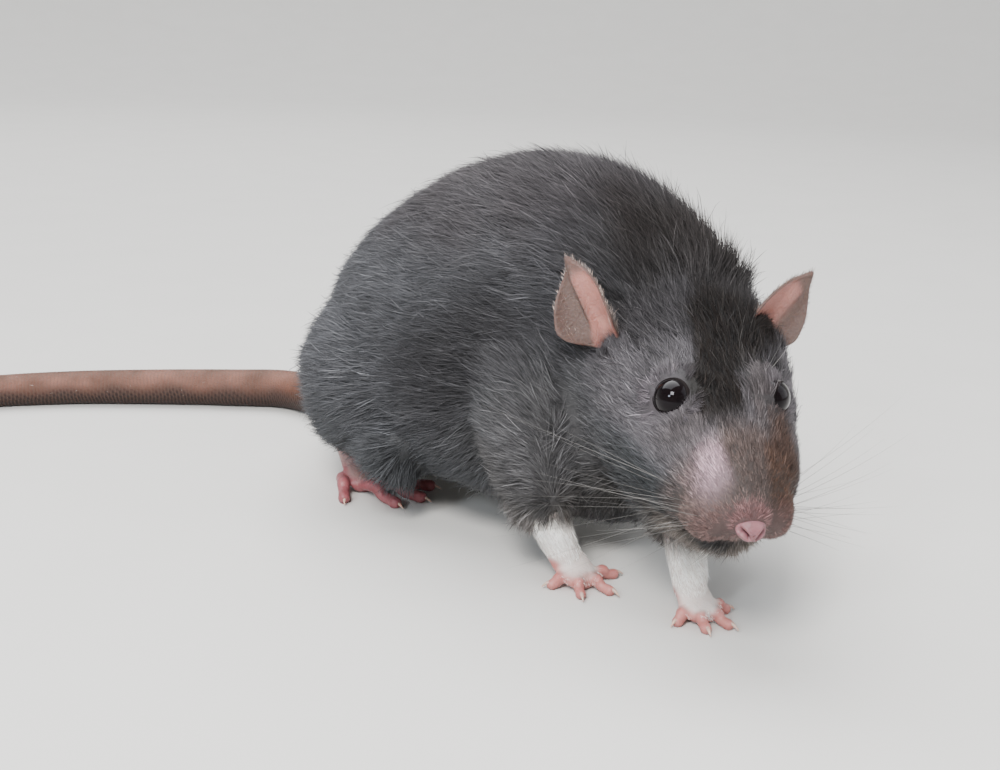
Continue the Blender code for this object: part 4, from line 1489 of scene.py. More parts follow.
@dataclass
class Eyes:
    """The wet eyeballs and the dark bare rims of their lids."""

    form: BodyForm
    corner: float = 0.12
    profile: Rows = (
        (-0.12, -0.10), (-0.07, 0.05), (0.0, 0.11), (0.06, 0.12), (0.12, 0.07), (0.19, -0.10),
        (0.28, -0.5), (0.34, -1.1), (0.26, -1.6), (0.1, -1.1), (-0.06, -0.6))

    def ball(self, side: Side, frame: RatFrame, finish: EyeFinish) -> bpy.types.Object:
        """Make one eyeball.

        Args:
            side: which side of the rat.
            frame: the rat's frame, which makes the piece.
            finish: the piece's finish.

        Returns:
            The piece.
        """
        radius = self.form.eye_radius
        shell = ball((0, 0, 0), (radius, radius, radius), 40, 56).turned(self.form.eye_frame(side))
        return frame.make(f"eyeball_{side.word}", shell, finish.material(),
                          (f"eye_{side.word}",))

    def lids(self, side: Side, frame: RatFrame, finish: FleshFinish) -> bpy.types.Object:
        """Make one ring of lids.

        Its edge is an oval, flatter below, with a small point towards the nose; the ring's
        profile rises over the eyeball and falls back into the fur.

        Args:
            side: which side of the rat.
            frame: the rat's frame, which makes the piece.
            finish: the piece's finish.

        Returns:
            The piece.
        """
        angle = turns(96)
        across, above, below = self.form.eye_openings[side]
        high = np.where(np.sin(angle) > 0, above, below)
        reach = 1 / np.hypot(np.cos(angle) / across, np.sin(angle) / high)
        nose = -side.value * np.cos(angle + side.value * -0.25)
        reach = reach + self.corner * np.exp((nose - 1) / 0.04)
        rows = []
        radius = self.form.eye_radius
        edge = np.sqrt(np.maximum(radius**2 - reach**2, 0.3))
        for grow, rise in self.profile:
            out = reach + grow
            over = np.sqrt(np.maximum(radius**2 - np.minimum(out, reach) ** 2, 0.3))
            level = over if grow < 0 else edge
            fold = 0.05 * np.sin(3 * angle) * max(grow, 0)
            height = level + rise + fold
            rows.append(np.column_stack([out * np.cos(angle), out * np.sin(angle), height]))
        shell = ring_grid(np.stack(rows)).turned(self.form.eye_frame(side))
        tone = np.repeat(np.array([1, 1, 0.9, 0.7, 0.55, 0.5, 0.5, 0.5, 0.5, 0.5, 1.0]), 96)
        return frame.make(f"lids_{side.word}", shell, finish.material(), (), {"tone": tone})


@dataclass
class Nose:
    """The bare pink nose pad with comma-shaped nostrils and a cleft."""

    form: BodyForm
    centre: Triple = (0.0, 1.3, -1.15)
    radii: Triple = (2.4, 2.0, 2.0)
    nostril: Rows = (
        (0.7, -0.5, -1.9), (1.05, -0.5, -1.35), (1.55, -0.2, -0.95), (2.05, 0.5, -0.75))
    cleft: Rows = (
        (0, -0.6, -1.2), (0, -0.1, -2.2), (0, 1.2, -3.1))

    def build(self, frame: RatFrame, finish: FleshFinish) -> bpy.types.Object:
        """Make the nose pad.

        Args:
            frame: the rat's frame, which makes the piece.
            finish: the piece's finish.

        Returns:
            The piece.
        """
        rings, around = 72, 96
        polar = np.linspace(0, math.pi, rings + 2)[1:-1, None]
        angle = turns(around)[None]
        normal = np.stack([np.sin(polar) * np.cos(angle), -np.cos(polar) + 0 * angle,
                           np.sin(polar) * np.sin(angle)], -1)
        surface = np.array(self.centre) + normal * np.array(self.radii)
        flat = surface.reshape(-1, 3)
        tone = np.zeros(len(flat))
        press = np.zeros(len(flat))
        for sign in (-1, 1):
            line = smooth_rows(np.array(self.nostril) * (sign, 1, 1), 40)
            gap = gaps(flat, line)
            width = np.linspace(0.24, 0.46, 40)
            hole = hump(gap, width).max(1)
            press += 1.25 * hole
            # painted shade in the nostrils, darker where they sink in
            tone = np.maximum(tone, ease(hole, 0.35, 0.9))
            press -= 0.14 * hump(gap.min(1) - 0.8, 0.35)
        line = smooth_rows(self.cleft, 40)
        gap = gaps(flat, line).min(1)
        press += 0.45 * hump(gap, 0.26)
        # painted shade along the cleft
        tone = np.maximum(tone, 0.5 * hump(gap, 0.26))
        flat = flat - press[:, None] * normal.reshape(-1, 3)
        shell = closed_grid(flat.reshape(surface.shape)).turned(self.form.head_frame())
        tone = np.append(tone, [0.0, 0.0])
        return frame.make("nose_pad", shell, finish.material(), (), {"tone": tone})


@dataclass
class Whiskers:
    """The long whiskers of the muzzle and the stiff hairs over the eyes."""

    form: BodyForm
    rows: int = 4
    columns: int = 5
    chin_hairs: int = 14
    radius: float = 0.042

    def build(self, frame: RatFrame, finish: HairFinish, draw: np.random.Generator) -> bpy.types.Object:
        """Make the whiskers: rows on the pad, longest behind, swept out and back.

        Args:
            frame: the rat's frame, which makes the piece.
            finish: the piece's finish.
            draw: the random numbers.

        Returns:
            The piece.
        """
        roots, aims, lengths, droop = [], [], [], []
        for side in Side:
            sign = side.value
            for row in range(self.rows):
                for column in range(self.columns):
                    up = 2.2 - 1.6 * row + draw.normal(0, 0.15)
                    back = 4.0 + 1.9 * column + 0.5 * row + draw.normal(0, 0.2)
                    x, y, z = self.form.whisker_pad
                    room = 1 - ((back - y) / 7.4) ** 2 - ((up + 0.6) / 6.0) ** 2
                    out = x + 4.0 * math.sqrt(max(room, 0.05))
                    roots.append((sign * out, back, z + up))
                    share = column / (self.columns - 1)
                    aims.append((sign, 0.6 * share + draw.normal(0, 0.16),
                                 0.24 - 0.27 * row + draw.normal(0, 0.10)))
                    lengths.append((15.0 + 19.0 * share) * draw.uniform(0.85, 1.1))
                    droop.append((0.0, 0.20, -0.12 + draw.normal(0, 0.03)))
            for k in range(2):
                roots.append((sign * (7.6 + 1.6 * k), 26.0 + 1.6 * k, 13.2 - 0.3 * k))
                aims.append((sign * (0.45 + 0.15 * k), 0.3, 0.75 - 0.1 * k))
                lengths.append(draw.uniform(9.0, 13.0))
                droop.append((sign * 0.1, 0.3, -0.15))
        for _ in range(self.chin_hairs):
            spot = draw.uniform(-1, 1)
            roots.append((2.6 * spot, draw.uniform(7.0, 10.0), -9.4))
            aims.append((0.5 * spot, draw.uniform(-0.2, 0.5), -1.0))
            lengths.append(draw.uniform(4.0, 7.5))
            droop.append((0.0, 0.3, 0.0))
        shell = strands(np.array(roots), np.array(aims), np.array(lengths), self.radius,
                        np.array(droop))
        shell = shell.turned(self.form.head_frame())
        each = len(shell.points) // len(roots)
        shade = np.repeat(draw.uniform(0.04, 0.20, len(roots)), each)
        colour = np.column_stack([shade, 0.95 * shade, 0.9 * shade])
        return frame.make("whiskers", shell, finish.material(), (), {"coat": colour})


@dataclass
class EarShape:
    """One ear's place in the head's frame and its leaf's sizes."""

    base: Triple
    tip: Triple
    facing: Triple
    length: float
    cup: float
    fold: float
    crease: float
    root: float = 3.6
    half_width: float = 6.4


@dataclass
class Ears:
    """Thin cupped ears: a bare inner side with ribs, a fold at the tip and a rolled rim."""

    form: BodyForm
    shapes: dict[Side, EarShape] = field(default_factory=lambda: {
        Side.RIGHT: EarShape((-16.8, 43.5, 9.8), (-22.6, 51.5, 23.0), (-0.72, -0.72, 0.10),
                             16.4, 3.4, 1.2, 1.0),
        Side.LEFT: EarShape((13.0, 45.6, 9.0), (22.4, 49.6, 21.0), (0.43, -1.18, 0.19),
                            15.7, 2.0, 0.4, 0.3),
    })
    rings: int = 44
    around: int = 128

    def frame_of(self, side: Side) -> tuple[Array, Array, Array, Array]:
        """Return an ear's base and its directions along, across and facing, in the head's frame.

        Args:
            side: which side of the rat.

        Returns:
            The base and three unit directions.
        """
        shape = self.shapes[side]
        base = np.array(shape.base)
        along = unit(np.array(shape.tip) - base)
        facing = np.array(shape.facing)
        facing = unit(facing - facing.dot(along) * along)
        return base, along, np.cross(along, facing), facing

    def sheet(self, side: Side, radius: Array, angle: Array) -> tuple[Array, Array, Array]:
        """Return places of the ear's middle sheet with their shares up and across.

        The outline is a circle with a small point at the tip, narrowed towards it. The sheet
        is cupped by the square of the share across and folded along the tip's middle.

        Args:
            side: which side of the rat.
            radius: share of the way from the middle to the rim.
            angle: angle around the middle.

        Returns:
            The places and the two shares.
        """
        shape = self.shapes[side]
        base, along, across, facing = self.frame_of(side)
        half = (shape.length + shape.root) / 2
        outline = 0.90 + 0.13 * hump(angle, 0.28)
        outline = outline + 0.012 * np.sin(5 * angle + 1.0) * np.cos(angle / 2) ** 2
        reach = radius * outline
        up = reach * np.cos(angle)
        wide = reach * np.sin(angle) * (1 - 0.38 * up) * (1 - 0.62 * ease(-up, 0.15, 1.0))
        fold = shape.fold * hump(wide, 0.22) * np.clip(up, 0, 1)
        depth = shape.cup * (wide**2 + 0.12 * up**2) + fold - 14.0 * np.clip(-up - 0.40, 0, 1) ** 2
        ribs = 0.10 * np.sin(9 * wide / (0.35 + 0.6 * np.clip(up + 1, 0, 2)) + 0.6 * up)
        ribs = ribs * ease(radius, 0.1, 0.5)
        out = side.value * wide
        hollow = 1.6 * np.exp(-(((up + 0.45) / 0.42) ** 2 + ((out + 0.22) / 0.34) ** 2))
        ridge = 0.9 * hump(out - 0.10, 0.10) * ease(up, -0.75, -0.1) * ease(up, 1.0, 0.5)
        curl = 1.3 * ease(out, 0.42, 0.85) + 0.5 * ease(-out, 0.6, 0.9)
        depth = depth + (ribs + shape.crease * ridge) * ease(1 - radius, 0.0, 0.15) - hollow
        depth = depth + shape.crease * curl * ease(radius, 0.5, 1.0)
        place = (base + along * (half - shape.root) + (up * half)[..., None] * along
                 + (wide * shape.half_width)[..., None] * across + depth[..., None] * facing)
        return place, up, wide

    def build(self, side: Side, frame: RatFrame, finish: EarFinish) -> bpy.types.Object:
        """Make one ear: its front from middle to rim and its back from rim to middle.

        Args:
            side: which side of the rat.
            frame: the rat's frame, which makes the piece.
            finish: the piece's finish.

        Returns:
            The piece.
        """
        facing = self.frame_of(side)[3]
        radius = np.sin(np.linspace(0.02, math.pi / 2, self.rings))[:, None]
        angle = np.linspace(-math.pi, math.pi, self.around, endpoint=False)[None]
        place, up, wide = self.sheet(side, radius, angle)
        thick = 0.27 * np.sqrt(np.clip(1 - radius**6, 0, 1)) + 0.10 + 0.18 * hump(radius - 0.93, 0.05)
        thick = thick + 0.5 * np.clip(-up - 0.3, 0, 1)
        front = place + thick[..., None] * facing
        back = place - thick[..., None] * facing
        surface = np.concatenate([front, back[::-1]])
        shell = closed_grid(surface).turned(self.form.head_frame())
        out = side.value * wide
        # darker low in the cup: the darker hair there together with painted shade in the hollow
        deep = 0.9 * ease(-up, 0.30, 0.85) * ease(np.abs(out + 0.15), 0.6, 0.2)
        rim = 0.25 * ease(radius, 0.90, 1.0) + 0 * angle
        tone = np.concatenate([np.maximum(deep, rim).ravel(), (0.3 + 0 * up).ravel(), [0.8, 0.3]])
        crease = self.shapes[side].crease
        edge = out - 0.45 * np.clip(-up - 0.1, 0, 1)
        soft = 0.3 * (1 - crease)
        outer = ease(edge, -0.02 - soft, 0.16 + soft) + 0.9 * ease(up, 0.55, 0.8)
        outer = np.maximum(outer, ease(radius, 0.88, 0.98) * ease(up, -0.6, -0.2))
        brown = np.concatenate([np.clip(outer, 0, 1).ravel(), (1 + 0 * up).ravel(), [0.0, 1.0]])
        return frame.make(f"ear_leaf_{side.word}", shell, finish.material(),
                          (f"ear_{side.word}",), {"tone": np.clip(tone, 0, 1), "brown": brown})

    def down(self, side: Side, draw: np.random.Generator, count: int = 1500) -> Locks:
        """Return the fine short hairs of an ear's back and rim, and the longer ones at its root.

        Args:
            side: which side of the rat.
            draw: the random numbers.
            count: how many hairs.

        Returns:
            The hairs.
        """
        _, along, across, facing = self.frame_of(side)
        radius = np.sqrt(draw.uniform(0.0, 1.0, count)) * 0.97
        angle = draw.uniform(-math.pi, math.pi, count)
        front = draw.uniform(0, 1, count) < 0.25
        radius = np.where(front, np.clip(radius, 0.80, 0.97), radius)
        place, up, _ = self.sheet(side, radius, angle)
        sign = np.where(front, 1.0, -1.0)[:, None]
        normals = unit(sign * facing + 0.3 * np.sin(angle)[:, None] * across)
        lie = unit(along + 0.5 * np.sin(angle)[:, None] * across)
        lie = laid(lie, normals)
        turn = np.array(self.form.head_frame())
        place = (place + 0.28 * sign * facing) @ turn[:3, :3].T + turn[:3, 3]
        normals, lie = self.form.out_of_head(normals), self.form.out_of_head(lie)
        tone = np.where(front[:, None], (0.34, 0.27, 0.24), (0.14, 0.12, 0.115))
        length = np.where(up < -0.3, 2.6, 1.3)
        return Locks(place, normals, lie, length, np.full(count, 0.35), tone, blades=2, spread=0.3,
                     half_width=0.05, sections=(0.0, 0.5, 1.0), root_shade=0.7, pale_share=0.2)


@dataclass
class EarTufts:
    """The tufts of the head's own hair that close round each ear's root."""

    ears: Ears
    plan: CoatPlan
    hide: Hide

    def locks(self, side: Side, draw: np.random.Generator, count: int = 420) -> Locks:
        """Return tufts rooted in the skin in front of and beside the ear, leaning over its root.

        The roots run round the lower half of the leaf a little outside its outline and are
        then moved to the nearest place of the skin; the hairs rise along the ear.

        Args:
            side: which side of the rat.
            draw: the random numbers.
            count: how many tufts.

        Returns:
            The tufts.
        """
        _, along, across, facing = self.ears.frame_of(side)
        angle = draw.uniform(0.52, 1.2, count) * math.pi
        angle = np.where(draw.uniform(0, 1, count) < 0.35, -angle, angle) * -side.value
        place, _, wide = self.ears.sheet(side, np.full(count, 0.98), angle)
        place = place - 1.6 * along + 2.6 * facing + 0.8 * np.sign(wide)[:, None] * across
        place = place + draw.normal(0, 0.4, (count, 3))
        turn = np.array(self.ears.form.head_frame())
        place = place @ turn[:3, :3].T + turn[:3, 3]
        near = np.linalg.norm(self.hide.points - place.mean(0), axis=1) < 20
        points, normals = self.hide.points[near], self.hide.normals[near]
        gap = np.linalg.norm(place[:, None] - points[None], axis=2)
        pick = gap.argmin(1)
        close = gap.min(1) < 4.5
        pick, wide = pick[close], wide[close]
        place = points[pick] + draw.normal(0, 0.15, (len(pick), 3))
        normal = normals[pick]
        rise = self.ears.form.out_of_head(along - 0.3 * np.sign(wide)[:, None] * across)
        lie = laid(rise, normal)
        count = len(pick)
        return Locks(place, normal, lie, draw.uniform(3.4, 6.2, count), np.full(count, 0.55),
                     self.plan.colour(place) * 1.05, blades=9, spread=0.5, half_width=0.055)


@dataclass(frozen=True)
class LegLook:
    """A leg's finish: its skin, its hair's tones, reach and lengths, and how many locks."""

    skin: FleshFinish
    tones: tuple[Colour, Colour, Colour]
    reach: float
    lengths: tuple[float, float]
    locks: int


PINK_SKIN = FleshFinish("foot_skin_bare", (0.46, 0.190, 0.170), (0.38, 0.130, 0.120), 0.42,
                        0.0002, 330.0, 0.2)
RUDDY_SKIN = replace(PINK_SKIN, name="hind_foot_skin_bare", pale=(0.30, 0.095, 0.105),
                     deep=(0.23, 0.066, 0.075))


@dataclass
class Feet:
    """Forelegs and hind feet: one skin from the wrist or heel to each digit, and their claws."""

    form: BodyForm
    forearms: dict[Side, Rows] = field(default_factory=lambda: {
        Side.RIGHT: ((-17.6, -99.0, 21.0, 5.2), (-16.6, -103.4, 12.5, 4.5), (-14.9, -107.0, 5.0, 3.9)),
        Side.LEFT: ((-3.2, -122.8, 23.0, 5.2), (-6.3, -129.0, 12.5, 4.4), (-7.2, -131.6, 5.0, 3.9))})
    palms: dict[Side, tuple[float, float]] = field(default_factory=lambda: {
        Side.RIGHT: (-14.2, -109.6), Side.LEFT: (-7.4, -133.4)})
    fore_tips: dict[Side, Rows] = field(default_factory=lambda: {
        Side.RIGHT: ((-21.2, -107.2), (-19.6, -116.6), (-12.7, -119.6), (-4.6, -113.4)),
        Side.LEFT: ((-14.8, -133.6), (-12.2, -140.6), (-6.6, -142.6), (0.0, -136.8))})
    sock_depth: float = 0.8
    heel: tuple[float, float] = (-11.0, -25.5)
    heel_height: float = 13.5
    sole: tuple[float, float] = (-14.8, -44.5)
    hind_tips: Rows = (
        (-25.6, -50.6), (-17.0, -60.6), (-9.6, -61.4), (-2.6, -56.6), (-4.2, -45.6))
    claw_length: float = 1.8
    claw_radius: float = 0.42
    cell: float = 0.34
    smoothing: int = 3
    fore_look: LegLook = LegLook(
        PINK_SKIN, ((0.56, 0.38, 0.35), (0.82, 0.79, 0.75), Tone.FAWN.value), 4.7, (1.3, 3.2), 6200)
    hind_look: LegLook = LegLook(
        RUDDY_SKIN, ((0.50, 0.30, 0.28), (0.40, 0.27, 0.25), (0.10, 0.085, 0.08)), 5.0,
        (1.0, 2.4), 2000)

    def digit(self, root: Array, tip: Array, radius: float, rise: float) -> tuple[list[Shell], Shell]:
        """Return a digit's masses, arched from the sole to its pad, and its claw.

        Args:
            root: where it leaves the palm.
            tip: where it meets the floor.
            radius: half its thickness.
            rise: height of its arch.

        Returns:
            The masses and the claw.
        """
        root, tip = np.array((*root, 2.0)), np.array((*tip, 0.4))
        run = tip - root
        heading = unit(run * (1, 1, 0))
        pad = 1 - self.claw_length / np.linalg.norm(run)
        rows = smooth_rows([
            (*root[:2], 2.2, radius * 1.1),
            (*(root + 0.30 * pad * run)[:2], radius + 0.9 * rise, radius * 0.94),
            (*(root + 0.46 * pad * run)[:2], radius + rise, radius * 1.04),
            (*(root + 0.62 * pad * run)[:2], radius * 0.95, radius * 0.86),
            (*(root + 0.78 * pad * run)[:2], radius * 0.88, radius * 0.90),
            (*(root + 0.93 * pad * run)[:2], radius * 0.80, radius * 0.92)], 22)
        bulb = root + 0.90 * pad * run
        masses = [tube(rows, 16), ball((*bulb[:2], radius * 0.72), (radius * 0.98,) * 3, 14, 18)]
        share = np.linspace(0, 1, 12)
        start = root + 0.92 * pad * run
        reach = np.linalg.norm((root + 0.99 * run - start)[:2])
        claw = np.column_stack([start[:2] + (share * reach)[:, None] * heading[:2],
                                1.25 + 0.35 * share - 1.15 * share**2.2,
                                self.claw_radius * (1 - share) ** 0.7 + 0.07])
        return masses, tube(claw, 12)

    def fore(self, side: Side) -> tuple[list[Shell], list[Shell]]:
        """Return the masses of a foreleg with its paw, and its claws.

        Args:
            side: which side of the rat.

        Returns:
            The masses and the claws.
        """
        rows = np.array(self.forearms[side])
        palm = np.array(self.palms[side])
        tips = np.array(self.fore_tips[side])
        heading = unit(tips[1:3].mean(0) - palm)
        lateral = np.array((-heading[1], heading[0], 0.0))
        slim = rows - (0, 0, 0, self.sock_depth)
        masses = [tube(smooth_rows(slim, 24), 28, (1.0, 0.0, 0.0))]
        path = smooth_rows([
            (*rows[2, :2], 5.0, 3.3, 3.3, 3.3),
            (*(palm + 0.4 * heading), 2.5, 3.7, 2.7, 2.5),
            (*(palm + 2.6 * heading), 1.8, 3.3, 1.9, 1.8)], 14)
        masses.append(self.sole_mass(path, lateral))
        turned = 1 if np.dot(tips[3] - tips[0], lateral[:2]) > 0 else -1
        claws = []
        for k, tip in enumerate(tips):
            off = k - 1.5
            root = palm + 1.6 * heading + off * 1.9 * turned * lateral[:2] - 0.5 * abs(off) * heading
            digit, claw = self.digit(root, tip, 1.12, 1.0)
            masses += digit
            claws.append(claw)
        inner = tips[3] if side is Side.RIGHT else tips[0]
        thumb = palm - 0.6 * heading + 3.4 * unit(inner - palm)
        masses.append(ball((*thumb, 1.5), (1.3, 1.3, 1.3), 12, 16))
        return masses, claws

    def hind(self, side: Side) -> tuple[list[Shell], list[Shell]]:
        """Return the masses of a hind foot, and its claws.

        Args:
            side: which side of the rat.

        Returns:
            The masses and the claws.
        """
        heel, sole = self.form.mirrored(side, self.heel), self.form.mirrored(side, self.sole)
        tips = self.form.mirrored(side, self.hind_tips)
        run = sole - heel
        rows = smooth_rows([
            (*heel, self.heel_height, 3.4, 3.8, 3.9),
            (*(heel + 0.45 * run), 0.62 * self.heel_height, 3.3, 3.2, 3.4),
            (*(heel + 0.85 * run), 3.4, 4.4, 2.8, 3.0),
            (*(heel + 1.05 * run), 2.3, 4.9, 2.3, 2.5)], 18)
        masses = [loft(rows, 28, 2.0, (2.6, 2.0))]
        heading = unit(run)
        lateral = -side.value * np.array((-heading[1], heading[0]))
        claws = []
        offsets = [(-4.6, -3.0), (-2.4, 1.2), (0.4, 1.8), (3.0, 0.8), (4.2, -4.0)]
        for (across, ahead), tip in zip(offsets, tips):
            root = sole + across * lateral + ahead * heading
            digit, claw = self.digit(root, tip, 1.45, 1.3)
            masses += digit
            claws.append(claw)
        return masses, claws

    @staticmethod
    def sole_mass(rows: Array, lateral: Array) -> Shell:
        """Return a flat oval body along a path, wide along one direction and low upwards.

        Args:
            rows: x, y, z, half width and the heights above and below, along the path.
            lateral: the wide direction.

        Returns:
            The shell.
        """
        angle = turns(28)
        bends = np.radians([70.0, 40.0, 0.0])
        first = [np.concatenate([rows[0, :3], rows[0, 3:] * math.cos(a)]) for a in bends[:2]]
        ahead = unit(rows[-1, :3] - rows[-2, :3])
        last = [np.concatenate([rows[-1, :3] + 1.4 * math.sin(a) * ahead, rows[-1, 3:] * math.cos(a)])
                for a in bends[1::-1]]
        rows = np.vstack([first, rows, last])
        rise = np.where(np.sin(angle) > 0, rows[:, 4:5], rows[:, 5:6]) * np.sin(angle)
        surface = (rows[:, None, :3] + (rows[:, 3:4] * np.cos(angle))[..., None] * lateral
                   + rise[..., None] * np.array((0.0, 0.0, 1.0)))
        return closed_grid(surface)

    @staticmethod
    def cover(points: Array, middle: Array, reach: float) -> Array:
        """Return how thickly hair stands on a foot: over the leg and the back of the palm.

        Args:
            points: rows of places in the rat's frame.
            middle: the palm's middle.
            reach: how far the hair runs from it.

        Returns:
            A share from 0 to 1 for each.
        """
        out = np.linalg.norm(points[:, :2] - np.array(middle), axis=1)
        palm = ease(points[:, 2], 1.4, 3.0) * ease(out, reach, reach - 1.6)
        return np.clip(ease(points[:, 2], 4.2, 6.0) + palm, 0, 1)

    def dress(self, names: tuple[str, str], nodes: tuple[str, ...], masses: list[Shell], look: LegLook,
              hair: bpy.types.Material, middle: Array, lie: Array, frame: RatFrame,
              draw: np.random.Generator) -> None:
        """Make one leg's skin from its masses, flat where it stands, and the hair on it.

        Args:
            names: the names of the skin and of its hair.
            nodes: the solids that the skin stands for.
            masses: the overlapping masses of leg and foot.
            look: the leg's finish.
            hair: the hair's material.
            middle: middle of the hair on the back of the foot.
            lie: direction in which the hairs lie.
            frame: the rat's frame, which makes the pieces.
            draw: the random numbers.
        """
        points, faces = fused(masses, self.cell, self.smoothing)
        points[:, 2] = np.maximum(points[:, 2], 0.0)
        cover = self.cover(points, middle, look.reach)
        values = {"tone": 0.35 * ease(points[:, 2], 1.2, 0.1), "furred": 0.8 * cover,
                  "coat": 0.75 * sock_colour(points, look.tones)}
        frame.make(names[0], Shell(points, faces), look.skin.material(), nodes, values)
        sock = leg_hair(points, faces, lie, look.lengths, cover, look.tones, look.locks, draw)
        make_hair(names[1], sock, frame, hair, draw)

    def build(self, frame: RatFrame, hair: HairFinish, horn: HornFinish,
              draw: np.random.Generator) -> None:
        """Make the four legs with their socks, and the claws as one piece.

        Args:
            frame: the rat's frame, which makes the pieces.
            hair: the socks' finish.
            horn: the claws' finish.
            draw: the random numbers.
        """
        white = hair.material()
        claws = []
        for side in Side:
            masses, horns = self.fore(side)
            claws += horns
            palm = np.array(self.palms[side], float)
            ahead = np.array((*unit(np.array(self.fore_tips[side][2]) - palm), 0.0))
            self.dress((f"foreleg_{side.word}", f"sock_{side.word}"),
                       (f"forearm_{side.word}", f"fore_paw_{side.word}"), masses, self.fore_look, white,
                       palm + 0.5 * ahead[:2], 0.8 * ahead - np.array((0, 0, 1.0)), frame, draw)
            masses, horns = self.hind(side)
            claws += horns
            self.dress((f"hind_foot_skin_{side.word}", f"hind_sock_{side.word}"),
                       (f"hind_foot_{side.word}",), masses, self.hind_look, white,
                       self.form.mirrored(side, self.sole), np.array((0.0, -0.8, -0.6)), frame, draw)
        each = len(claws[0].points)
        whole = join(claws)
        root = 1 - ease(np.arange(len(whole.points)) % each, 0, 0.6 * each)
        frame.make("claws", whole, horn.material(), (), {"tone": root})


@dataclass
class Tail:
    """The long bare tail: rings of small scales, and a short hair behind many of them."""

    rows: Rows = (
        (4.6, -20, 6.4), (6, -9, 5.7), (8.4, 4, 5.4), (5.6, 17.5, 5.2), (-5, 28.5, 5),
        (-21.6, 43, 4.75), (-38, 55.5, 4.5), (-56, 65.5, 4.25), (-80, 73.5, 3.8), (-104, 75, 3.3),
        (-126, 67.5, 2.7), (-142, 52, 2.1), (-149, 33, 1.4), (-150, 22, 0.9))
    raised: tuple[float, float] = (8.0, 1.6)
    flat: float = 0.25
    ring: float = 0.95
    scales_around: int = 22
    sections: int = 960
    around: int = 40

    def path(self, count: int) -> Array:
        """Return rows of x, y, z and radius along the tail, resting on the floor.

        Args:
            count: how many rows.

        Returns:
            The rows.
        """
        rows = smooth_rows([(x, y, 0.0, r) for x, y, r in self.rows], count)
        rows[:, 2] = rows[:, 3] - self.flat
        share = np.linspace(0, 1, count)
        root, height = self.raised
        rise = root * np.clip(1 - share / 0.09, 0, 1) ** 1.4 + height * np.clip(1 - share / 0.13, 0, 1)
        rows[:, 2] += rise
        return rows

    def build(self, frame: RatFrame, finish: TailFinish) -> bpy.types.Object:
        """Make the tail: each ring of scales swells and ends in a groove, in steps around.

        Args:
            frame: the rat's frame, which makes the piece.
            finish: the piece's finish.

        Returns:
            The piece.
        """
        rows = self.path(self.sections)
        steps = np.linalg.norm(np.diff(rows[:, :3], axis=0), axis=1)
        along = np.concatenate([[0.0], np.cumsum(steps)])[:, None]
        angle = turns(self.around)[None]
        ring = along / self.ring
        sway = 0.18 * np.sin(3 * angle + ring * 0.21) + 0.10 * np.sin(7 * angle - ring * 0.13)
        phase = (ring + sway) % 1.0
        groove = hump(np.minimum(phase, 1 - phase), 0.16)
        number = np.floor(ring + sway)
        scale = (angle * self.scales_around / (2 * math.pi) + 0.5 * (number % 2)) % 1.0
        seam = hump(np.minimum(scale, 1 - scale), 0.14)
        relief = 0.07 * phase * (1 - groove) - 0.05 * groove - 0.03 * seam * (1 - groove)
        centres, radii = rows[:, :3], rows[:, 3]
        tangent = unit(np.gradient(centres, axis=0))
        side = unit(np.cross(tangent, (0.0, 0.0, 1.0)))
        rise = np.cross(side, tangent)
        normal = np.cos(angle)[..., None] * side[:, None] + np.sin(angle)[..., None] * rise[:, None]
        reach = (radii[:, None] - 0.05) + relief * np.minimum(radii[:, None] / 3.0, 1.0)
        surface = centres[:, None] + reach[..., None] * normal
        surface[..., 2] = np.maximum(surface[..., 2], 0.0)
        shell = closed_grid(surface)
        # painted shade on the tail's underside, by how far each place faces down
        under = ease(normal[..., 2] + 0.1 * np.sin(ring * 0.4), 0.62, -0.25).ravel()
        tone = np.clip(groove + 0.6 * seam, 0, 1).ravel()
        ends = [0.0, 0.0]
        return frame.make("tail_whole", shell, finish.material(),
                          tuple(f"tail_{k}" for k in range(1, 6)),
                          {"under": np.append(under, ends), "tone": np.append(tone, ends)})

    def hairs(self, draw: np.random.Generator, count: int = 4200) -> Locks:
        """Return the short stiff hairs that lie back over the rings.

        Args:
            draw: the random numbers.
            count: how many hairs.

        Returns:
            The hairs.
        """
        rows = self.path(600)
        pick = draw.integers(12, 598, count)
        centre, radius = rows[pick, :3], rows[pick, 3]
        tangent = unit(np.gradient(rows[:, :3], axis=0))[pick]
        side = unit(np.cross(tangent, (0.0, 0.0, 1.0)))
        rise = np.cross(side, tangent)
        angle = draw.uniform(-0.5, math.pi + 0.5, count)[:, None]
        normal = np.cos(angle) * side + np.sin(angle) * rise
        pale = draw.uniform(0, 1, count)[:, None] < 0.5
        tone = np.where(pale, (0.42, 0.36, 0.32), (0.09, 0.07, 0.06))
        return Locks(centre + normal * radius[:, None], normal, tangent, draw.uniform(1.0, 1.9, count),
                     np.full(count, 0.22), tone, blades=1, spread=0.0, half_width=0.045,
                     sections=(0.0, 0.5, 1.0), root_shade=0.9, pull=0.0, pale_share=0.0)


# The coat's growth

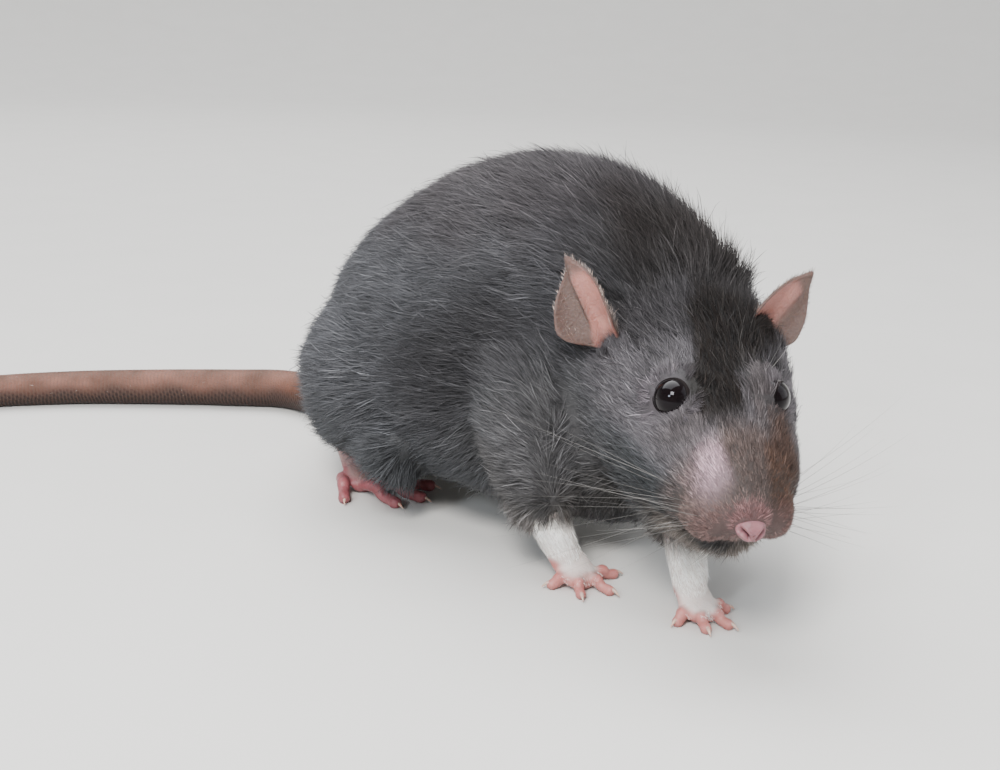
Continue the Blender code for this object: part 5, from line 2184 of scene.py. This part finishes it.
@dataclass
class Pelt:
    """Scatters locks of hair over the hide and grows them, region by region."""

    form: BodyForm
    plan: CoatPlan
    hide: Hide
    count: int = 36000
    guard_count: int = 5200
    face_back: float = 18.0
    crown_up: float = 3.0
    rear_from: float = -66.0
    back_from: float = 48.0
    bare_nose: Triple = (0.0, 0.7, -1.4)
    bare_radii: Triple = (2.0, 2.2, 1.7)

    def scatter(self, wanted: int, draw: np.random.Generator) -> Array:
        """Return places and directions on the hide, spread by area and by the plan's density.

        Args:
            wanted: number of places.
            draw: the random numbers.

        Returns:
            Rows of place and direction.
        """
        points, faces, normals = self.hide.points, self.hide.faces, self.hide.normals
        a, b, c, d = (points[faces[:, k]] for k in range(4))
        area = np.linalg.norm(np.cross(c - a, d - b), axis=1) / 2
        middle = (a + b + c + d) / 4
        weight = area * self.density(middle)
        pick = np.sort(draw.choice(len(faces), wanted, p=weight / weight.sum()))
        u, v = draw.uniform(0, 1, (2, wanted, 1))
        blend = [(1 - u) * (1 - v), u * (1 - v), u * v, (1 - u) * v]
        place = sum(share * points[faces[pick, k]] for k, share in enumerate(blend))
        normal = unit(sum(share * normals[faces[pick, k]] for k, share in enumerate(blend)))
        return np.hstack([place, normal])

    def density(self, points: Array) -> Array:
        """Return how thickly locks stand: densest on the face, none on bare places.

        Args:
            points: rows of places in the rat's frame.

        Returns:
            A weight for each.
        """
        local = self.form.in_head(points)
        share = self.plan.head_share(points)
        thick = 1.0 + share * (0.9 + 5.2 * ease(local[:, 1], 24, 8) + 4.0 * ease(local[:, 1], 8, 4))
        thick *= ease(points[:, 2], 1.0, 3.5) * 0.85 + 0.15
        bare = np.linalg.norm((local - np.array(self.bare_nose)) / self.bare_radii, axis=1)
        thick *= ease(bare, 0.95, 1.1)
        for side in Side:
            away, _, across = self.form.opening(side, points)
            near = np.linalg.norm(away, axis=1) < 7.5
            crowded = thick * ease(across, 3.2, 3.4) * (1 + 0.9 * ease(across, 7.0, 4.5))
            thick = np.where(near, crowded, thick)
        return thick

    def locks(self, wanted: int, draw: np.random.Generator) -> Locks:
        """Return the coat's locks with their colour, length, lift and lie.

        Args:
            wanted: number of locks.
            draw: the random numbers.

        Returns:
            The locks.
        """
        rows = self.scatter(wanted, draw)
        place, normal = rows[:, :3], rows[:, 3:]
        length = self.plan.length(place) * draw.uniform(0.85, 1.15, wanted)
        return Locks(place, normal, self.plan.lie(place, normal), length, self.plan.lift(place),
                     self.plan.colour(place))

    def regions(self, place: Array) -> dict[str, Array]:
        """Return which places belong to each piece of the coat.

        Args:
            place: the locks' roots.

        Returns:
            A mask for each piece, by its name.
        """
        local = self.form.in_head(place)
        head = self.plan.head_share(place) > 0.5
        back = local[:, 1]
        left = place[:, 0] > self.form.hip_x
        rear = place[:, 1] > self.rear_from
        high = place[:, 2] > self.back_from
        skull = head & (back >= self.face_back)
        return {
            "coat_face": head & (back < self.face_back),
            "coat_cheeks": skull & (local[:, 2] < self.crown_up),
            "coat_crown": skull & (local[:, 2] >= self.crown_up),
            "coat_rump_right": ~head & rear & ~left & ~high,
            "coat_rump_left": ~head & rear & left & ~high,
            "coat_back_rear": ~head & rear & high,
            "coat_shoulder_right": ~head & ~rear & ~left & ~high,
            "coat_shoulder_left": ~head & ~rear & left & ~high,
            "coat_back_front": ~head & ~rear & high,
        }

    def build(self, frame: RatFrame, finish: HairFinish, draw: np.random.Generator) -> None:
        """Grow and make every piece of the coat.

        Args:
            frame: the rat's frame, which makes the piece.
            finish: the piece's finish.
            draw: the random numbers.
        """
        whole = self.locks(self.count, draw)
        material = finish.material()
        for name, chosen in self.regions(whole.roots).items():
            part = whole.chosen(chosen)
            if name in ("coat_face", "coat_cheeks", "coat_crown"):
                part = replace(part, blades=9, spread=0.55, half_width=0.06)
            if name == "coat_face":
                part = replace(part, blades=8, half_width=0.055, pull=0.35, clump=0.26)
            make_hair(name, part, frame, material, draw)
            log.info("%s: %d locks", name, len(part.roots))
        self.guards(frame, material, draw)

    def guards(self, frame: RatFrame, material: bpy.types.Material, draw: np.random.Generator) -> None:
        """Grow the longer single hairs that stand over the coat.

        Args:
            frame: the rat's frame, which makes the piece.
            material: the coat's material.
            draw: the random numbers.
        """
        rows = self.scatter(self.guard_count, draw)
        place, normal = rows[:, :3], rows[:, 3:]
        behind_face = self.form.in_head(place)[:, 1] > 24
        place, normal = place[behind_face], normal[behind_face]
        grey = draw.uniform(0, 1, len(place)) < 0.4
        colour = self.plan.colour(place) * 0.8
        colour = np.where(grey[:, None], np.minimum(colour * 1.6 + 0.012, 0.7), colour)
        part = Locks(place, normal, self.plan.lie(place, normal),
                     self.plan.length(place) * draw.uniform(1.15, 1.55, len(place)),
                     self.plan.lift(place) * 1.2, colour, blades=2, spread=0.4, half_width=0.06,
                     sway=0.2, pull=0.1, pale_share=0.0, bend=0.34, sections=(0.0, 0.4, 0.75, 1.0))
        make_hair("coat_guard_hairs", part, frame, material, draw)


def make_hair(name: str, part: Locks, frame: RatFrame, material: bpy.types.Material,
              draw: np.random.Generator) -> bpy.types.Object:
    """Grow locks and make them one piece, each blade a patch on the bake map.

    Args:
        name: the piece's name.
        part: its locks.
        frame: the rat's frame, which makes the piece.
        material: its material.
        draw: the random numbers.

    Returns:
        The piece.
    """
    shell, colour, patches = part.grow(draw)
    return frame.make(name, shell, material, (), {"coat": colour}, patches)


def sock_colour(points: Array, tones: tuple[Colour, ...]) -> Array:
    """Return a leg's hair colour by height: at the toes, on the leg and under the body.

    Args:
        points: rows of places in the rat's frame.
        tones: the three colours, from below.

    Returns:
        A colour for each.
    """
    low, middle, high = (np.array(tone) for tone in tones)
    height = points[:, 2] + 0.8 * waves(points, 9.0, 5)
    colour = low + ease(height, 1.6, 3.0)[:, None] * (middle - low)
    return colour + ease(height, 11.5, 16.0)[:, None] * (high - colour)


def leg_hair(points: Array, faces: Faces, away: Array, length: tuple[float, float],
             share: Array, tones: tuple[Colour, ...], wanted: int, draw: np.random.Generator) -> Locks:
    """Return short hairs over a leg's skin.

    Args:
        points: the skin's points.
        faces: its faces.
        away: direction in which the hairs lie.
        length: length at the foot and at the top.
        share: how thickly they stand at each point.
        tones: their colours at the toes, on the leg and under the body.
        wanted: number of locks.
        draw: the random numbers.

    Returns:
        The locks.
    """
    normals = normals_of(points, faces)
    a, c = points[faces[:, 0]], points[faces[:, 2]]
    area = np.linalg.norm(np.cross(c - a, points[faces[:, 3]] - points[faces[:, 1]]), axis=1)
    weight = area * share[faces].mean(1)
    pick = draw.choice(len(faces), wanted, p=weight / weight.sum())
    place = (a + c)[pick] / 2 + draw.normal(0, 0.05, (wanted, 3))
    normal = normals[faces[pick, 0]]
    lie = laid(away, normal)
    size = length[0] + (length[1] - length[0]) * ease(place[:, 2], 3, 12)
    lift = 0.14 + 0.14 * ease(place[:, 2], 3, 8)
    return Locks(place, normal, lie, size, lift, sock_colour(place, tones), blades=3, spread=0.4,
                 half_width=0.048, root_shade=0.8, pull=0.3, rough=0.12, clump=0.1)


# Studio

@dataclass(frozen=True)
class Lamp:
    """One soft square light: its place in the rat's frame, side in metres, watts and colour."""

    name: str
    place: Triple
    size: float
    power: float
    colour: Colour


@dataclass
class Studio:
    """The plain pale floor, the soft lights and the camera at the photo's place."""

    frame: RatFrame
    place: Triple = (-179.4, -257.7, 105.0)
    pitch: float = 16.5
    roll: float = 2.0
    turn: float = 44.0
    lens: float = 45.0
    sensor: float = 36.0
    aim: Triple = (-5.0, -90.0, 30.0)
    lamps: tuple[Lamp, ...] = (
        Lamp("key", (-400, -300, 480), 0.19, 5.6, (1.0, 0.98, 0.95)),
        Lamp("window", (-560, -210, 330), 0.11, 1.8, (0.86, 0.93, 1.0)),
        Lamp("fill", (300, -480, 300), 0.5, 1.2, (0.95, 0.97, 1.0)),
        Lamp("top", (100, 500, 1500), 1.7, 52.0, (1.0, 1.0, 1.0)),
    )

    def build(self) -> None:
        """Set the floor, the world, the lights and the camera."""
        self.floor(FloorFinish())
        self.sky()
        for lamp in self.lamps:
            self.light(lamp)
        self.camera()

    def floor(self, finish: FloorFinish) -> None:
        """Make the floor: a round of plain ground that sweeps up into a low wall.

        The profile runs out from the middle, flat, then along a quarter circle and straight up.

        Args:
            finish: the floor's finish.
        """
        bend = np.linspace(0, math.pi / 2, 20)
        away = np.concatenate([[0.0, 0.6], 1.2 + 0.9 * np.sin(bend), [2.1]])
        rise = np.concatenate([[0.0, 0.0], 0.9 * (1 - np.cos(bend)), [1.3]]) - 0.02 * METRES_PER_MM
        angle = turns(72)[None]
        x, y = away[:, None] * np.cos(angle), away[:, None] * np.sin(angle)
        points = np.stack([x, y, np.broadcast_to(rise[:, None], x.shape)], -1).reshape(-1, 3)
        faces = [tuple(dict.fromkeys(face)) for face in grid_faces(len(away), 72).tolist()]
        mesh = bpy.data.meshes.new("floor")
        mesh.from_pydata(points.tolist(), [], faces)
        mesh.polygons.foreach_set("use_smooth", np.ones(len(faces), bool))
        floor = bpy.data.objects.new("floor", mesh)
        bpy.context.scene.collection.objects.link(floor)
        mesh.materials.append(finish.material())

    def light(self, lamp: Lamp) -> None:
        """Hang one light that looks at the rat's middle.

        Args:
            lamp: the light's place, size, power and colour.
        """
        data = bpy.data.lights.new(lamp.name, "AREA")
        data.size = lamp.size
        data.energy = lamp.power
        data.color = lamp.colour
        thing = bpy.data.objects.new(lamp.name, data)
        spot = Vector(self.frame.metres(lamp.place))
        ray = Vector(self.frame.metres(self.aim)) - spot
        turn = ray.to_track_quat("-Z", "Y").to_matrix().to_4x4()
        thing.matrix_world = Matrix.Translation(spot) @ turn
        bpy.context.scene.collection.objects.link(thing)

    def camera(self) -> None:
        """Set the camera as the photo's was: turned, pitched down and rolled a little."""
        c, s = math.cos(math.radians(self.turn)), math.sin(math.radians(self.turn))
        p, r = math.radians(self.pitch), math.radians(self.roll)
        left, deep = Vector((c, -s, 0)), Vector((s, c, 0))
        ahead = deep * math.cos(p) + Vector((0, 0, -math.sin(p)))
        down = deep * -math.sin(p) + Vector((0, 0, -math.cos(p)))
        across = left * math.cos(r) - down * math.sin(r)
        below = left * math.sin(r) + down * math.cos(r)
        turn = Matrix((across, -below, -ahead)).transposed().to_4x4()
        data = bpy.data.cameras.new("camera")
        data.lens = self.lens
        data.sensor_width = self.sensor
        data.clip_start = 0.01
        data.dof.use_dof = False
        camera = bpy.data.objects.new("camera", data)
        camera.matrix_world = Matrix.Translation(self.frame.metres(self.place)) @ turn
        bpy.context.scene.collection.objects.link(camera)
        bpy.context.scene.camera = camera

    def sky(self) -> None:
        """Set a soft grey world."""
        world = bpy.data.worlds.new("studio")
        world.use_nodes = True
        back = world.node_tree.nodes["Background"]
        back.inputs["Color"].default_value = (0.82, 0.86, 0.92, 1.0)
        back.inputs["Strength"].default_value = 0.5
        bpy.context.scene.world = world


def main() -> None:
    """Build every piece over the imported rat."""
    logging.basicConfig(level=logging.INFO, format="%(message)s")
    frame_of_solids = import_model()
    log.info("%d solids loaded", len(frame_of_solids["nodes"]))
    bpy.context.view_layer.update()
    draw = np.random.default_rng(SEED)
    form = BodyForm()
    frame = RatFrame(form.eye_place(Side.RIGHT))
    plan = CoatPlan(form)
    hide = Hide(form, plan)
    hide.shape()
    hide.build(frame, HideFinish("skin_under_coat"))
    log.info("skin: %d faces", len(hide.faces))
    Pelt(form, plan, hide).build(frame, HairFinish("coat_hair"), draw)

    eyes = Eyes(form)
    lid_skin = FleshFinish("lid_skin", (0.020, 0.015, 0.015), (0.012, 0.009, 0.009), 0.8, 0.0001,
                           see_through=0.0, specular=0.08)
    for side in Side:
        eyes.ball(side, frame, EyeFinish())
        eyes.lids(side, frame, lid_skin)
    nose_skin = FleshFinish("nose_skin", (0.235, 0.105, 0.120), (0.170, 0.072, 0.082), 0.42,
                            0.00015, 700.0, 0.2)
    Nose(form).build(frame, nose_skin)
    Whiskers(form).build(frame, HairFinish("whisker_hair", 0.3, 0.5), draw)
    log.info("eyes, lids, nose and whiskers")

    ears = Ears(form)
    tufts = EarTufts(ears, plan, hide)
    down = HairFinish("ear_down").material()
    for side in Side:
        ears.build(side, frame, EarFinish())
        make_hair(f"ear_down_{side.word}", ears.down(side, draw), frame, down, draw)
        make_hair(f"ear_tufts_{side.word}", tufts.locks(side, draw), frame, down, draw)
    log.info("ears")

    Feet(form).build(frame, HairFinish("sock_hair", 0.5, 0.2), HornFinish(), draw)
    log.info("legs, feet and claws")

    tail = Tail()
    tail.build(frame, TailFinish())
    bristle = HairFinish("tail_bristle").material()
    make_hair("tail_hairs", tail.hairs(draw), frame, bristle, draw)
    log.info("tail")

    Studio(frame).build()


if __name__ == "__main__":
    main()
